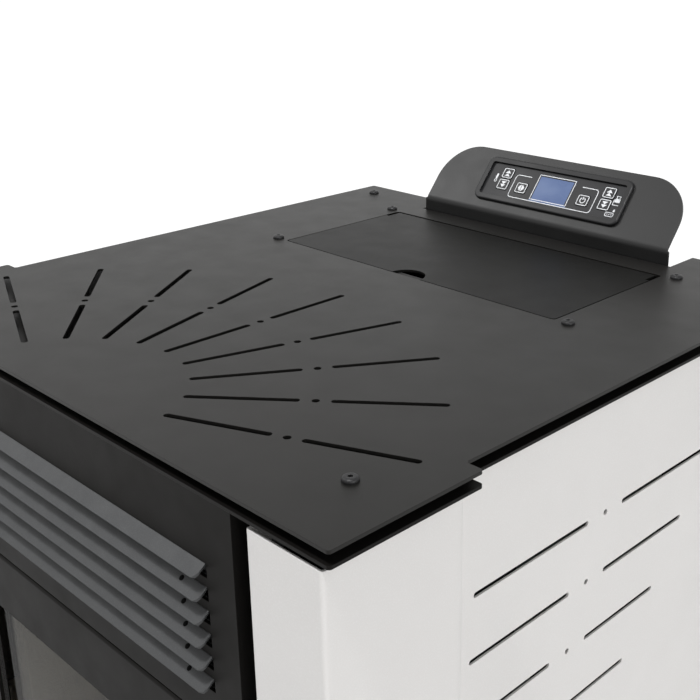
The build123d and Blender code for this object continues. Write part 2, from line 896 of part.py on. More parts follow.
def door_frame():
    skin = block(-head_half, head_half, 0, door_skin_t, door_bottom, door_top)
    skin = fillet(skin.faces().sort_by(Axis.Y)[0].edges(), door_edge_r)
    ring = block(-frame_half, frame_half, door_skin_t, door_depth, ring_bottom, ring_top)
    ring -= Pos(0, door_skin_t, 0) * extrude(view_face(pocket_margin), -door_depth)
    frame = skin + ring
    frame -= extrude(view_face(0), -door_skin_t)
    half = rope_w / 2
    frame -= frame_ring(rope_centre + half, rope_centre - half, rope_bottom - half, rope_bottom + half,
                        rope_top - half, rope_top + half, door_depth - rope_inset, door_depth)
    for level in hinge_lug_levels():
        for sign in (-1, 1):
            near = level + sign * (lug_h / 2 + seat)
            z0, z1 = sorted((near, near + sign * door_knuckle_h))
            frame += rod((hinge_x, hinge_y, z0), (0, 0, 1), door_knuckle_r, z1 - z0)
            frame += block(hinge_x, -frame_half, hinge_y - door_knuckle_r, hinge_y + door_knuckle_r, z0, z1)
            frame -= rod((hinge_x, hinge_y, z0), (0, 0, 1), door_pin_r + run_gap, z1 - z0)
    room = lug_h / 2 + seat
    for level in hinge_lug_levels():
        frame -= block(hinge_x - lug_room, -frame_half + door_skin_t, door_skin_t, door_depth,
                       level - room, level + room)
    z = door_bottom + spindle_above
    boss_length = cam_y - door_skin_t - spindle_boss_short
    frame += rod((spindle_x, door_skin_t, z), (0, 1, 0), spindle_boss_r, boss_length)
    return frame - rod((spindle_x, 0, z), (0, 1, 0), spindle_r + run_gap, cam_y)


def door_glass():
    return Pos(0, glass_y, 0) * extrude(view_face(glass_margin), -glass_t)


def glass_gasket():
    tape = view_face(glass_margin) - view_face(glass_margin - glass_seal_w)
    return Pos(0, door_skin_t, 0) * extrude(tape, -glass_seal_t)


def glass_clips():
    """Spring clips screwed inside the pocket that hold the glass from behind."""
    clips = []
    back = glass_y + glass_t
    middle = (view_top + view_bottom) / 2
    wall = view_half + pocket_margin
    for z in (middle - view_height / 4, middle + view_height / 4):
        z0, z1 = z - clip_w / 2, z + clip_w / 2
        leaves = mirrored_blocks(view_half + clip_short, wall, back, back + clip_t, z0, z1)
        risers = mirrored_blocks(wall - clip_t, wall, back, door_depth + clip_t, z0, z1)
        feet = mirrored_blocks(wall - clip_t, wall + clip_foot, door_depth, door_depth + clip_t, z0, z1)
        clips += [leaf + riser + foot for leaf, riser, foot in zip(leaves, risers, feet)]
    return as_group(clips)


def door_rope_seal():
    half = rope_w / 2 - rope_side_gap
    rope = frame_ring(rope_centre + half, rope_centre - half, rope_bottom - half, rope_bottom + half,
                      rope_top - half, rope_top + half, door_depth - rope_inset, box_front - seat)
    return fillet(rope.faces().sort_by(Axis.Y)[-1].edges(), rope_round)


def door_hinge_pins():
    pins = []
    for level in hinge_lug_levels():
        length = lug_h + 2 * (door_knuckle_h + seat)
        pin = rod((hinge_x, hinge_y, level - length / 2), (0, 0, 1), door_pin_r, length)
        top = (hinge_x, hinge_y, level + length / 2)
        pins.append(pin + rod(top, (0, 0, 1), door_knuckle_r - pin_head_in, pin_head_t))
    return as_group(pins)


def door_handle():
    z = door_bottom + spindle_above
    hub_y = -handle_hub_t - seat
    handle = rod((spindle_x, hub_y, z), (0, 1, 0), handle_hub_r, handle_hub_t)
    handle += rod((spindle_x, hub_y, z), (0, 1, 0), spindle_r, cam_y + cam_t - hub_y)
    grip_y = -handle_reach + grip_r
    in_hub, short, in_grip = neck_into
    neck = FilletPolyline((spindle_x, hub_y + in_hub, z), (spindle_x, grip_y + short, z - neck_drop),
                          (spindle_x, grip_y, z - grip_start - in_grip), radius=neck_bend_r)
    handle += sweep(Plane(origin=neck @ 0, z_dir=neck % 0) * Circle(neck_r), path=neck)
    grip = rod((spindle_x, grip_y, z - grip_start), (0, 0, -1), grip_r, grip_length)
    handle += fillet(grip.edges(), grip_round)
    lean = radians(cam_lean)
    tip = (spindle_x + cam_reach * sin(lean), cam_y, z + cam_reach * cos(lean))
    cam = rod((spindle_x, cam_y, z), (0, 1, 0), cam_hub_r, cam_t) + rod(tip, (0, 1, 0), cam_r, cam_t)
    web = Pos(spindle_x, cam_y + cam_t / 2, z) * Rot(0, cam_lean, 0) * Pos(0, 0, cam_reach / 2)
    return handle + cam + web * Box(2 * cam_r, cam_t, cam_reach)


# ------------------------------------------------------------------ firebox

def board_span():
    return box_half - box_t - board_t


def pot_plan(grow=0.0):
    at = Pos(0, pot_front + pot_length / 2, 0)
    return at * RectangleRounded(2 * (pot_half + grow), pot_length + 2 * grow, pot_corner_r + grow)


def chute_start():
    return (0, auger_top_y + chute_behind, auger_top_z - chute_below)


def chute_axis():
    slope = radians(chute_slope)
    return (0, -cos(slope), -sin(slope))


def chute_hole(margin):
    return rod(chute_start(), chute_axis(), chute_r + margin, chute_length)


def tube_places():
    first = -(tube_columns - 1) / 2 * tube_pitch
    return [(first + column * tube_pitch, z) for z in tube_rows for column in range(tube_columns)]


def firebox_front(top):
    """Plates round the firebox mouth; the side strips stand out as the landing of the rope seal."""
    inner = box_half - box_t
    y0, y1 = box_front, box_front + box_t
    low, high = mouth_bottom - flange_over, mouth_top + flange_over
    head = block(-inner, inner, y0, y1, mouth_top, top)
    for x, z in tube_places():
        head -= rod((x, y0, z), (0, 1, 0), tube_r + run_gap, box_t)
    return [head, block(-inner, inner, y0, y1, box_floor, mouth_bottom)] + mirrored_blocks(
        box_half, flange_half, y0, y1, low, high)


def firebox_back(top):
    """Back plate in four lengths: below the smoke slot, beside it and above it."""
    back = box_back - box_t
    inner = box_half - box_t
    duct_inner = duct_half - smoke_wall
    slot_left, slot_right = smoke_x - duct_inner, smoke_x + duct_inner
    slot_low, slot_high = duct_top - smoke_slot_h, duct_top - smoke_wall
    low = block(-inner, inner, back, box_back, base_z + base_t, slot_low)
    low -= chute_hole(chute_clear)
    low -= rod((0, back, intake_z), (0, 1, 0), intake_r + run_gap, box_t)
    low -= rod((0, back, igniter_z), (0, 1, 0), igniter_sleeve_r + run_gap, box_t)
    high = block(-inner, inner, back, box_back, slot_high, top)
    for x, z in tube_places():
        high -= rod((x, back, z), (0, 1, 0), tube_r + run_gap, box_t)
    return [low, high, block(-inner, slot_left, back, box_back, slot_low, slot_high),
            block(slot_right, inner, back, box_back, slot_low, slot_high)]


def smoke_duct():
    """Folded channel that leads smoke down the firebox's back to the smoke fan."""
    x0, x1 = smoke_x - duct_half, smoke_x + duct_half
    wall = smoke_wall
    y1 = smoke_front - wall
    hole_r = smoke_inlet_r - smoke_lip
    high = smoke_z + hole_r
    low = smoke_z - hole_r
    ring = block(x0, x1, y1, smoke_front, low, high)
    ring -= rod((smoke_x, y1, smoke_z), (0, 1, 0), hole_r, wall)
    corners = [ring & block(*span, y1, smoke_front, *rise)
               for span in ((x0, smoke_x), (smoke_x, x1)) for rise in ((low, smoke_z), (smoke_z, high))]
    return corners + [block(x0, x1, y1, smoke_front, high, duct_top),
                      block(x0, x1, y1, smoke_front, duct_bottom, low),
                      block(x0, x0 + wall, box_back, y1, duct_bottom, duct_top),
                      block(x1 - wall, x1, box_back, y1, duct_bottom, duct_top),
                      block(x0 + wall, x1 - wall, box_back, y1, duct_bottom, duct_bottom + wall),
                      block(x0 + wall, x1 - wall, box_back, y1, duct_top - wall, duct_top)]


def firebox_shell():
    """Welded plates, each a solid of its own."""
    top = stove_height - box_top
    inner = box_half - box_t
    back = box_back - box_t
    front = box_front + box_t
    plates = mirrored_blocks(inner, box_half, box_front, box_back, base_z + base_t, top)
    plates += firebox_front(top - box_t)
    plates += firebox_back(top - box_t)
    plates.append(block(-inner, inner, box_front, box_back, top - box_t, top))
    hearth_front, hearth_back = pot_front - drop_over, pot_front + pot_length + drop_over
    hearth_top = box_floor + box_t
    plates.append(block(-inner, inner, front, hearth_front, box_floor, hearth_top))
    plates.append(block(-inner, inner, hearth_back, back, box_floor, hearth_top))
    plates += mirrored_blocks(drop_half, inner, hearth_front, hearth_back, box_floor, hearth_top)
    low = cradle_z - cradle_t
    plates += mirrored_blocks(inner - ledge_w, inner, front, back, low - ledge_h, low)
    runner_top = drawer_bottom - seat
    plates += mirrored_blocks(inner - runner_w, inner, front, back, runner_top - runner_t, runner_top)
    return as_group(plates + smoke_duct())


def side_fire_board(side):
    inner = board_span()
    x0, x1 = sorted((side * inner, side * (inner + board_t)))
    return block(x0, x1, box_front, box_back - box_t, cradle_z, mouth_top)


def back_fire_board():
    inner = board_span()
    back = box_back - box_t
    board = block(-inner, inner, back - board_t, back, cradle_z, mouth_top)
    board = board - chute_hole(board_clear)
    return max(board.solids(), key=lambda s: s.volume)


def baffle_board():
    return block(-box_half + box_t, box_half - box_t, baffle_front, box_back - box_t,
                 mouth_top, mouth_top + baffle_t)


def heat_exchanger_tubes():
    length = box_back - box_front + tube_behind
    places = tube_places()
    return as_group([pipe((x, box_front, z), (0, 1, 0), tube_r, tube_wall, length) for x, z in places])


def burn_pot_cradle():
    inner = box_half - box_t
    plate = block(-inner, inner, box_front + box_t, box_back - box_t, cradle_z - cradle_t, cradle_z)
    return plate - Pos(0, 0, cradle_z - cradle_t) * extrude(pot_plan(pot_gap), cradle_t)


def burn_pot():
    pot = Pos(0, 0, pot_bottom) * extrude(pot_plan(), pot_top - pot_bottom)
    pot += Pos(0, 0, cradle_z) * extrude(pot_plan(pot_flange), pot_flange_t)
    pot -= Pos(0, 0, pot_bottom + pot_wall) * extrude(pot_plan(-pot_wall), pot_top)
    mid_y = pot_front + pot_length / 2
    for column in pot_hole_span:
        x = column * pot_hole_pitch
        pot -= rod((x, pot_front, cradle_z + pot_side_hole_over), (0, 1, 0), pot_hole_r, pot_length)
        for row in pot_hole_span:
            pot -= rod((x, mid_y + row * pot_hole_pitch, pot_bottom), (0, 0, 1), pot_hole_r, pot_wall)
    return pot - rod((0, mid_y, igniter_z), (0, 1, 0), igniter_r, pot_length)


def igniter():
    start = pot_front + pot_length + igniter_gap
    sleeve = start + igniter_bare
    heater = rod((0, start, igniter_z), (0, 1, 0), igniter_r, box_back + igniter_tail - start)
    return heater + rod((0, sleeve, igniter_z), (0, 1, 0), igniter_sleeve_r, box_back + sleeve_tail - sleeve)


# ------------------------------------------------------------------ ash drawer

def ash_drawer():
    """Open-topped pan; its front wall stands behind the finger pull of the drawer's front."""
    t = drawer_t
    front = pull_depth + seat
    inner = drawer_half - t
    pan = block(-drawer_half, drawer_half, front, drawer_back, drawer_bottom, drawer_top)
    pan -= block(-inner, inner, front + t, drawer_back - t, drawer_bottom + t, drawer_top)
    for side in (-1, 1):
        x0, x1 = sorted((side * drawer_half, side * (drawer_half - drawer_lug_w)))
        pan += block(x0, x1, sheet_t, front, drawer_bottom, drawer_top)
    return pan


def pull_top():
    return door_bottom - door_gap - pull_below


def drawer_front():
    top = door_bottom - door_gap
    front = block(-head_half, head_half, 0, sheet_t, drawer_face_bottom, top)
    front = fillet(front.edges().filter_by(Axis.X).group_by(Axis.Z)[-1].sort_by(Axis.Y)[0], fold_r)
    front -= block(-pull_half, pull_half, 0, sheet_t, pull_top() - pull_h, pull_top())
    t = sheet_t
    pocket = block(-pull_half - t, pull_half + t, t, pull_depth, pull_top() - pull_h - t, pull_top() + t)
    pocket -= block(-pull_half, pull_half, t, pull_depth - t, pull_top() - pull_h, pull_top())
    for side in (-1, 1):
        x0, x1 = sorted((side * head_half, side * (head_half - t)))
        front += block(x0, x1, t, drawer_return, drawer_face_bottom, top)
    return front + pocket


# ------------------------------------------------------------------ chassis

def foot_places():
    return [(x, y) for x in (-foot_x, foot_x) for y in (foot_front_y, foot_rear_y)]


def chassis_posts():
    """Folded uprights: an L at the front and an L at the rear of each side."""
    rise = (base_z + base_t, lower_bottom)
    front, web = post_front, post_outer - post_t
    pieces = mirrored_blocks(post_inner, web, front, front + post_t, *rise)
    pieces += mirrored_blocks(web, post_outer, front, front + post_depth, *rise)
    side = base_half - post_t
    pieces += mirrored_blocks(base_half - rear_post_w, side, base_back - post_t, base_back, *rise)
    return pieces + mirrored_blocks(side, base_half, base_back - post_depth, base_back, *rise)


def chassis_rails():
    """Lips along the base, rails under the plates and tabs that hold the firebox."""
    start = side_step_y + rail_start
    bar = start + post_t
    low, high = lower_bottom - rail_h, lower_bottom
    top = base_z + base_t
    web = post_outer - post_t
    pieces = mirrored_blocks(base_half - post_t, base_half, start, base_back - post_depth, low, high)
    pieces += mirrored_blocks(web, base_half - post_t, start, bar, low, high)
    pieces += mirrored_blocks(web, post_outer, post_front + post_depth, start, low, high)
    pieces += mirrored_blocks(base_half - post_t, base_half, start, base_back - post_depth, top, top + lip_h)
    pieces += mirrored_blocks(box_half, web, post_front + tab_behind, post_front + tab_behind + post_t,
                              top, top + tab_h)
    return pieces


def hinge_lugs():
    lugs = []
    for level in hinge_lug_levels():
        z0, z1 = level - lug_h / 2, level + lug_h / 2
        lug = rod((hinge_x, hinge_y, z0), (0, 0, 1), door_knuckle_r, lug_h)
        lug += block(hinge_x - lug_half_t, hinge_x + lug_half_t, hinge_y, post_front, z0, z1)
        lug -= rod((hinge_x, hinge_y, z0), (0, 0, 1), door_pin_r, lug_h)
        lugs += [lug, block(-post_inner, hinge_x + lug_half_t, post_front, post_front + post_t, z0, z1)]
    return lugs


def latch_keeper():
    """Hook on the right front post; the handle's cam turns in behind it."""
    z = door_bottom + spindle_above
    low, high = z - keeper_below, z + keeper_above
    outer = keeper_x + keeper_w
    front = cam_y - keeper_ahead
    hook = block(keeper_x, outer - post_t, front, front + keeper_t, low, high)
    return [hook, block(outer - post_t, outer, front, post_front, low, high)]


def chassis_frame():
    """Welded base, posts and rails, each a solid of its own."""
    top = base_z + base_t
    base = block(-base_half, base_half, base_front, base_back, base_z, top)
    sill = block(-head_half - sill_over, head_half + sill_over, base_front, base_front + base_t,
                 top, drawer_face_bottom - sill_gap)
    nuts = []
    for x, y in foot_places():
        hole = rod((x, y, base_z), (0, 0, 1), foot_screw_r + run_gap, foot_nut_h + base_t)
        base -= hole
        nuts.append(Pos(x, y, top) * extrude(Circle(foot_nut_r), foot_nut_h) - hole)
    return as_group([base, sill] + nuts + chassis_posts() + chassis_rails() + hinge_lugs() + latch_keeper())


def levelling_foot(x, y):
    pad = Pos(x, y, 0) * extrude(Circle(foot_r), foot_h)
    pad = fillet(pad.edges().sort_by(Axis.Z)[-1], foot_round)
    return pad + rod((x, y, foot_h), (0, 0, 1), foot_screw_r, foot_screw_top - foot_h)


# ------------------------------------------------------------------ casing

def side_outline():
    """Outer line of a side panel's section, from the front return to the rear return."""
    narrow = side_wide - side_step
    return [(side_edge_x, side_face_y + side_return), (side_edge_x, side_face_y), (side_wide, side_face_y),
            (side_wide, side_step_y), (narrow, side_step_y + side_step_run), (narrow, side_back),
            (narrow - side_back_return, side_back)]


def side_panel():
    bends = (side_lip_r, side_bend_r, side_step_r, side_step_r, side_bend_r)
    line = FilletPolyline(*side_outline(), radius=bends)
    section = make_face(offset(line, side_t, side=Side.LEFT, closed=True))
    panel = Pos(0, 0, side_bottom) * extrude(section, panel_top - side_bottom)
    x = side_wide - side_step
    for row in range(slot_rows):
        z = stove_height - slot_top - row * slot_pitch
        mid = slot_mid_y - row * slot_mid_step
        far = slot_half - row * slot_half_step
        for sign in (-1, 1):
            y = mid + sign * (slot_inner + far) / 2
            at = Plane(origin=(x, y, z), x_dir=(0, 1, 0), z_dir=(-1, 0, 0))
            panel -= extrude(at * SlotOverall(far - slot_inner, side_slot_w), side_t)
        panel -= rod((x, mid, z), (-1, 0, 0), side_dot_r, side_t)
    return panel


def rear_panel():
    half = side_wide - side_step - side_back_return
    back = rear_face()
    panel = block(-half, half, back - rear_t, back, rear_bottom, rear_top)
    panel -= rod((flue_x, back - rear_t, flue_z), (0, 1, 0), flue_r + pipe_clear, rear_t)
    panel -= rod((0, back - rear_t, intake_z), (0, 1, 0), intake_r + pipe_clear, rear_t)
    for side in (-1, 1):
        for row in range(vent_count):
            z = vent_bottom + row * vent_pitch
            at = Plane(origin=(side * vent_x, back - rear_t, z), x_dir=(1, 0, 0), z_dir=(0, 1, 0))
            panel -= extrude(at * SlotOverall(vent_w, vent_h), rear_t)
    w, h = inlet_half_w - inlet_rim, inlet_half_h - inlet_rim
    return panel - block(inlet_x - w, inlet_x + w, back - rear_t, back, inlet_z - h, inlet_z + h)


# ------------------------------------------------------------------ hopper and auger

def funnel_solid(inset):
    """Tapered lower part of the bin, shrunk by a wall."""
    mid_y = (hopper_front + hopper_back) / 2
    length = hopper_back - hopper_front
    wide = Pos(0, mid_y, hopper_straight) * Rectangle(2 * (hopper_half - inset), length - 2 * inset)
    low_y = mouth_front + mouth_length / 2
    low = Pos(0, low_y, hopper_mouth_z) * Rectangle(2 * (mouth_half - inset), mouth_length - 2 * inset)
    return loft([low, wide])


def hopper_bin():
    """Straight walls, a funnel and a flange, each a solid of its own."""
    t = hopper_t
    low, high = hopper_straight, lower_bottom
    flange_low = high - t
    walls = mirrored_blocks(hopper_half - t, hopper_half, hopper_front, hopper_back, low, high)
    inner = hopper_half - t
    walls.append(block(-inner, inner, hopper_front, hopper_front + t, low, high))
    walls.append(block(-inner, inner, hopper_back - t, hopper_back, low, high))
    side = hopper_half + hopper_flange
    front, back = hopper_front - hopper_flange, hopper_back + hopper_back_flange
    flanges = mirrored_blocks(hopper_half, side, front, back, flange_low, high)
    flanges.append(block(-hopper_half, hopper_half, front, hopper_front, flange_low, high))
    flanges.append(block(-hopper_half, hopper_half, hopper_back, back, flange_low, high))
    drilled = []
    for flange in flanges:
        for x, y in plate_screw_places():
            flange -= rod((x, y, high), (0, 0, -1), screw_hole_r, t)
        drilled.append(flange)
    return as_group(walls + drilled + [funnel_solid(0) - funnel_solid(t)])


def hopper_guard():
    rim_t, rim_h = guard_rim
    z1 = lower_bottom - guard_drop
    z0 = z1 - rim_h
    x = hopper_half - hopper_t - seat
    y0, y1 = hopper_front + hopper_t + seat, hopper_back - hopper_t - seat
    rim = block(-x, x, y0, y1, z0, z1) - block(-x + rim_t, x - rim_t, y0 + rim_t, y1 - rim_t, z0, z1)
    pitch = 2 * x / (guard_bars + 1)
    for bar in range(1, guard_bars + 1):
        start = (bar * pitch - x, y0 + rim_t / 2, (z0 + z1) / 2)
        rim += rod(start, (0, 1, 0), guard_bar_r, y1 - y0 - rim_t)
    return rim


def auger_axis():
    slope = radians(auger_slope)
    return Vector(0, cos(slope), -sin(slope))


def auger_point(t):
    return Vector(0, auger_top_y, auger_top_z) + auger_axis() * t


def feed_mouth(inset, z0, z1):
    """Upright block under the hopper's mouth, shrunk or grown by an inset."""
    y0, y1 = mouth_front + inset, mouth_front + mouth_length - inset
    return block(inset - mouth_half, mouth_half - inset, y0, y1, z0, z1)


def auger_tube():
    axis = auger_axis()
    wall = auger_wall
    reach, thick = collar_flange
    collar_z = hopper_mouth_z - collar_h
    tube = rod(auger_point(0), axis, auger_r, auger_length)
    tube += feed_mouth(0, collar_z, hopper_mouth_z)
    tube += feed_mouth(-reach, hopper_mouth_z - thick, hopper_mouth_z)
    tube += chute_hole(0)
    tube -= rod(auger_point(wall), axis, auger_r - wall, auger_length - 2 * wall)
    tube -= feed_mouth(wall, collar_z, hopper_mouth_z)
    tube -= rod(chute_start(), chute_axis(), chute_r - wall, chute_length)
    for end in (0, auger_length - wall):
        tube -= rod(auger_point(end), axis, shaft_r + run_gap, wall)
    return tube


def auger_screw():
    axis = auger_axis()
    start = auger_wall + screw_end_gap
    core = rod(auger_point(start), axis, screw_core_r, auger_length - 2 * start)
    outer = auger_r - auger_wall - screw_clear
    inner = screw_core_r - flight_root
    helix = Helix(pitch=screw_pitch, height=screw_turns * screw_pitch, radius=outer)
    blade = Plane(origin=(inner, 0, 0), x_dir=(1, 0, 0), z_dir=(0, -1, 0))
    strip = blade * Pos((outer - inner) / 2, 0, 0) * Rectangle(outer - inner, flight_t)
    flight = sweep(strip, path=helix, is_frenet=True)
    local = Plane(origin=auger_point(start + screw_lead), x_dir=(1, 0, 0), z_dir=axis)
    shaft_length = auger_length + 2 * auger_wall + shaft_tail
    return core + local * flight + rod(auger_point(-auger_wall), axis, shaft_r, shaft_length)


def auger_gearmotor():
    axis = auger_axis()
    start = auger_length
    gearbox = rod(auger_point(start), axis, motor_r, gearbox_length)
    can_length = motor_length - gearbox_length
    motor = rod(auger_point(start + gearbox_length), axis, motor_r - motor_slimmer, can_length)
    bore = auger_wall + shaft_tail + bore_spare
    return gearbox + motor - rod(auger_point(start), axis, shaft_r + run_gap, bore)


# ------------------------------------------------------------------ fans, flue, intake

def smoke_fan_housing():
    back = smoke_front + smoke_depth
    body = rod((smoke_x, smoke_front, smoke_z), (0, 1, 0), smoke_r, smoke_depth)
    duct_end = flue_x - flue_box_half
    body += block(smoke_x, duct_end, smoke_front, back, smoke_z - smoke_r, smoke_z - smoke_r + outlet_h)
    wall = smoke_wall
    hollow = rod((smoke_x, smoke_front + wall, smoke_z), (0, 1, 0), smoke_r - wall, smoke_depth - 2 * wall)
    hollow += block(smoke_x, duct_end, smoke_front + wall, back - wall,
                    smoke_z - smoke_r + wall, smoke_z - smoke_r + outlet_h - wall)
    body -= hollow
    body -= rod((smoke_x, smoke_front, smoke_z), (0, 1, 0), smoke_inlet_r, wall)
    return body - rod((smoke_x, back - wall, smoke_z), (0, 1, 0), shaft_r + run_gap, wall)


def smoke_fan_wheel():
    front = smoke_front + smoke_wall + smoke_wheel_gap
    depth = smoke_depth - 2 * (smoke_wall + smoke_wheel_gap)
    t = smoke_disc_t
    wheel = rod((smoke_x, front + depth - t, smoke_z), (0, 1, 0), smoke_wheel_r, t)
    wheel += rod((smoke_x, front, smoke_z), (0, 1, 0), smoke_hub_r, depth)
    for blade in range(smoke_blades):
        turn = Pos(smoke_x, 0, smoke_z) * Rot(0, blade * 360 / smoke_blades, 0)
        wheel += turn * block(smoke_blade_from, smoke_wheel_r - t / 2, front, front + depth, -t / 2, t / 2)
    length = smoke_front + smoke_depth + wheel_shaft_past - front
    return wheel + rod((smoke_x, front, smoke_z), (0, 1, 0), shaft_r, length)


def smoke_fan_motor():
    back = smoke_front + smoke_depth
    motor = rod((smoke_x, back, smoke_z), (0, 1, 0), smoke_motor_r, smoke_motor_l)
    motor = fillet(motor.edges().sort_by(Axis.Y)[-1], motor_round)
    return motor - rod((smoke_x, back, smoke_z), (0, 1, 0), shaft_r + run_gap, motor_bore)


def flue_spigot():
    x0, x1 = flue_x - flue_box_half, flue_x + flue_box_half
    z0 = smoke_z - smoke_r
    z1 = flue_z + flue_r + flue_box_over
    y0, y1 = smoke_front, base_back - flue_box_ahead
    wall = flue_wall
    box = block(x0, x1, y0, y1, z0, z1)
    box -= block(x0 + wall, x1 - wall, y0 + wall, y1 - wall, z0 + wall, z1 - wall)
    box -= block(x0, x0 + wall, y0 + smoke_wall, smoke_front + smoke_depth - smoke_wall,
                 z0 + smoke_wall, z0 + outlet_h - smoke_wall)
    length = body_depth + pipe_reach - y1
    box += rod((flue_x, y1, flue_z), (0, 1, 0), flue_r, length)
    return box - rod((flue_x, y1 - wall, flue_z), (0, 1, 0), flue_r - wall, length + wall)


def air_intake_pipe():
    start = box_back - box_t
    wall = intake_bead_r - intake_r + intake_bead_into
    bead = pipe((0, intake_bead_y, intake_z), (0, 1, 0), intake_bead_r, wall, intake_bead_w)
    length = body_depth + intake_reach - start
    return bead + pipe((0, start, intake_z), (0, 1, 0), intake_r, intake_wall, length)


def room_fan_housing():
    """Volute round the wheel, riser up the rear of the firebox and hood over the ends of the tubes."""
    back = riser_front + riser_depth
    wall = fan_wall
    top = stove_height - box_top
    centre = (fan_left, fan_y, fan_z)
    body = rod(centre, (1, 0, 0), fan_volute_r, fan_right - fan_left)
    body += block(fan_left, fan_right, riser_front, back, fan_z, hood_bottom)
    body += block(-fan_right, fan_right, box_back, back, hood_bottom, top)
    left, right, rear = fan_left + wall, fan_right - wall, back - wall
    floor = hood_bottom + wall
    hollow = rod((left, fan_y, fan_z), (1, 0, 0), fan_volute_r - wall, right - left)
    hollow += block(left, right, riser_front + wall, rear, fan_z, floor)
    hollow += block(-right, right, box_back, rear, floor, top - wall)
    body -= hollow
    body -= rod(centre, (1, 0, 0), fan_inlet_r, wall)
    return body - rod((right, fan_y, fan_z), (1, 0, 0), shaft_r + run_gap, wall)


def room_fan_wheel():
    left, right = fan_left + fan_wall + fan_wheel_gap, fan_right - fan_wall - fan_wheel_gap
    t = fan_disc_t
    wheel = rod((right - t, fan_y, fan_z), (1, 0, 0), fan_wheel_r, t)
    wheel += pipe((left, fan_y, fan_z), (1, 0, 0), fan_wheel_r, fan_blade_w, t)
    wheel += rod((right - fan_hub_l, fan_y, fan_z), (1, 0, 0), fan_hub_r, fan_hub_l)
    low, high = fan_wheel_r - fan_blade_w, fan_wheel_r - fan_blade_in
    for blade in range(fan_blades):
        turn = Pos(0, fan_y, fan_z) * Rot(blade * 360 / fan_blades, 0, 0)
        wheel += turn * block(left, right, -fan_blade_t / 2, fan_blade_t / 2, low, high)
    length = fan_right + fan_shaft_past - (right - fan_hub_l)
    return wheel + rod((right - fan_hub_l, fan_y, fan_z), (1, 0, 0), shaft_r, length)


def room_fan_motor():
    motor = rod((fan_right, fan_y, fan_z), (1, 0, 0), fan_motor_r, fan_motor_l)
    motor = fillet(motor.edges().sort_by(Axis.X)[-1], motor_round)
    return motor - rod((fan_right, fan_y, fan_z), (1, 0, 0), shaft_r + run_gap, motor_bore)


def control_board():
    depth, length, height = board_box
    x1 = base_half - post_t
    y1 = base_back - post_t - seat
    return block(x1 - depth, x1, y1 - length, y1, board_bottom, board_bottom + height)


def rocker_axis_y():
    return rear_face() - rocker_depth


def power_inlet():
    """Flush socket with three pins and a pocket for the switch; the pocket's stubs carry the rocker."""
    back = rear_face()
    front = back + inlet_flange_t
    flange = block(inlet_x - inlet_half_w, inlet_x + inlet_half_w, back, front,
                   inlet_z - inlet_half_h, inlet_z + inlet_half_h)
    flange = fillet(flange.edges().filter_by(Axis.Y), inlet_corner_r)
    w, h = inlet_half_w - inlet_rim - seat, inlet_half_h - inlet_rim - seat
    inlet = flange + block(inlet_x - w, inlet_x + w, back - inlet_depth, back, inlet_z - h, inlet_z + h)
    middle = inlet_z - socket_below
    socket = Plane(origin=(inlet_x, front, middle), x_dir=(1, 0, 0), z_dir=(0, -1, 0))
    inlet -= extrude(socket * RectangleRounded(socket_w, socket_h, inlet_corner_r), socket_depth)
    pin_w, pin_l, pin_h = pin_size
    for place in (-1, 0, 1):
        rise = 0.0 if place else pin_rise
        at = Pos(inlet_x + place * pin_pitch, front - socket_depth + pin_l / 2, middle + rise)
        inlet += at * Box(pin_w, pin_l, pin_h)
    wide, tall = rocker_half_w + seat, rocker_half_h + rocker_gap
    z = inlet_z + rocker_above
    inlet -= block(inlet_x - wide, inlet_x + wide, back - switch_depth, front, z - tall, z + tall)
    for side in (-1, 1):
        start = (inlet_x + side * (wide + stub_buried), rocker_axis_y(), z)
        inlet += rod(start, (-side, 0, 0), rocker_r, stub_length)
    return inlet


def rocker_switch():
    z = inlet_z + rocker_above
    y = rocker_axis_y()
    deep, foot_half = rocker_foot
    end, crest, waist = rocker_lip
    bottom = z - rocker_half_h
    low = [(y - deep, z - foot_half), (y + end, bottom), (y + crest, bottom + rocker_crest)]
    high = [(b, 2 * z - c) for b, c in reversed(low)]
    at = Plane(origin=(inlet_x - rocker_half_w, 0, 0), x_dir=(0, 1, 0), z_dir=(1, 0, 0))
    outline = Polyline(*low, (y + waist, z), *high, close=True)
    key = extrude(at * make_face(outline), 2 * rocker_half_w)
    return key - rod((inlet_x - rocker_half_w, y, z), (1, 0, 0), rocker_r + run_gap, 2 * rocker_half_w)


# ------------------------------------------------------------------ output

def main():
    os.makedirs("parts", exist_ok=True)
    makers = [top_plate, lower_plate, top_screws, hopper_lid, lid_hinge_pins, lid_gasket, control_bracket,
              control_bezel, keypad_panel, display_screen, front_frame, louvre_grille, door_frame,
              door_glass,
              glass_gasket, glass_clips, door_rope_seal, door_hinge_pins, door_handle, firebox_shell,
              back_fire_board, baffle_board, heat_exchanger_tubes, burn_pot_cradle, burn_pot, igniter,
              ash_drawer, drawer_front, chassis_frame, rear_panel, hopper_bin, hopper_guard, auger_tube,
              auger_screw, auger_gearmotor, smoke_fan_housing, smoke_fan_wheel, smoke_fan_motor, flue_spigot,
              air_intake_pipe, room_fan_housing, room_fan_wheel, room_fan_motor, control_board, power_inlet,
              rocker_switch]
    for maker in makers:
        write(maker.__name__, maker())
    for name in key_places():
        write(name, key_solid(name))
    write("left_fire_board", side_fire_board(-1))
    write("right_fire_board", side_fire_board(1))
    right = side_panel()
    write("right_side_panel", right)
    write("left_side_panel", mirror(right, Plane.YZ))
    for corner, (x, y) in zip(("left_front", "left_rear", "right_front", "right_rear"), foot_places()):
        write(corner + "_foot", levelling_foot(x, y))


main()
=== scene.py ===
import bpy
import bmesh
import math
from mathutils import Matrix, Vector


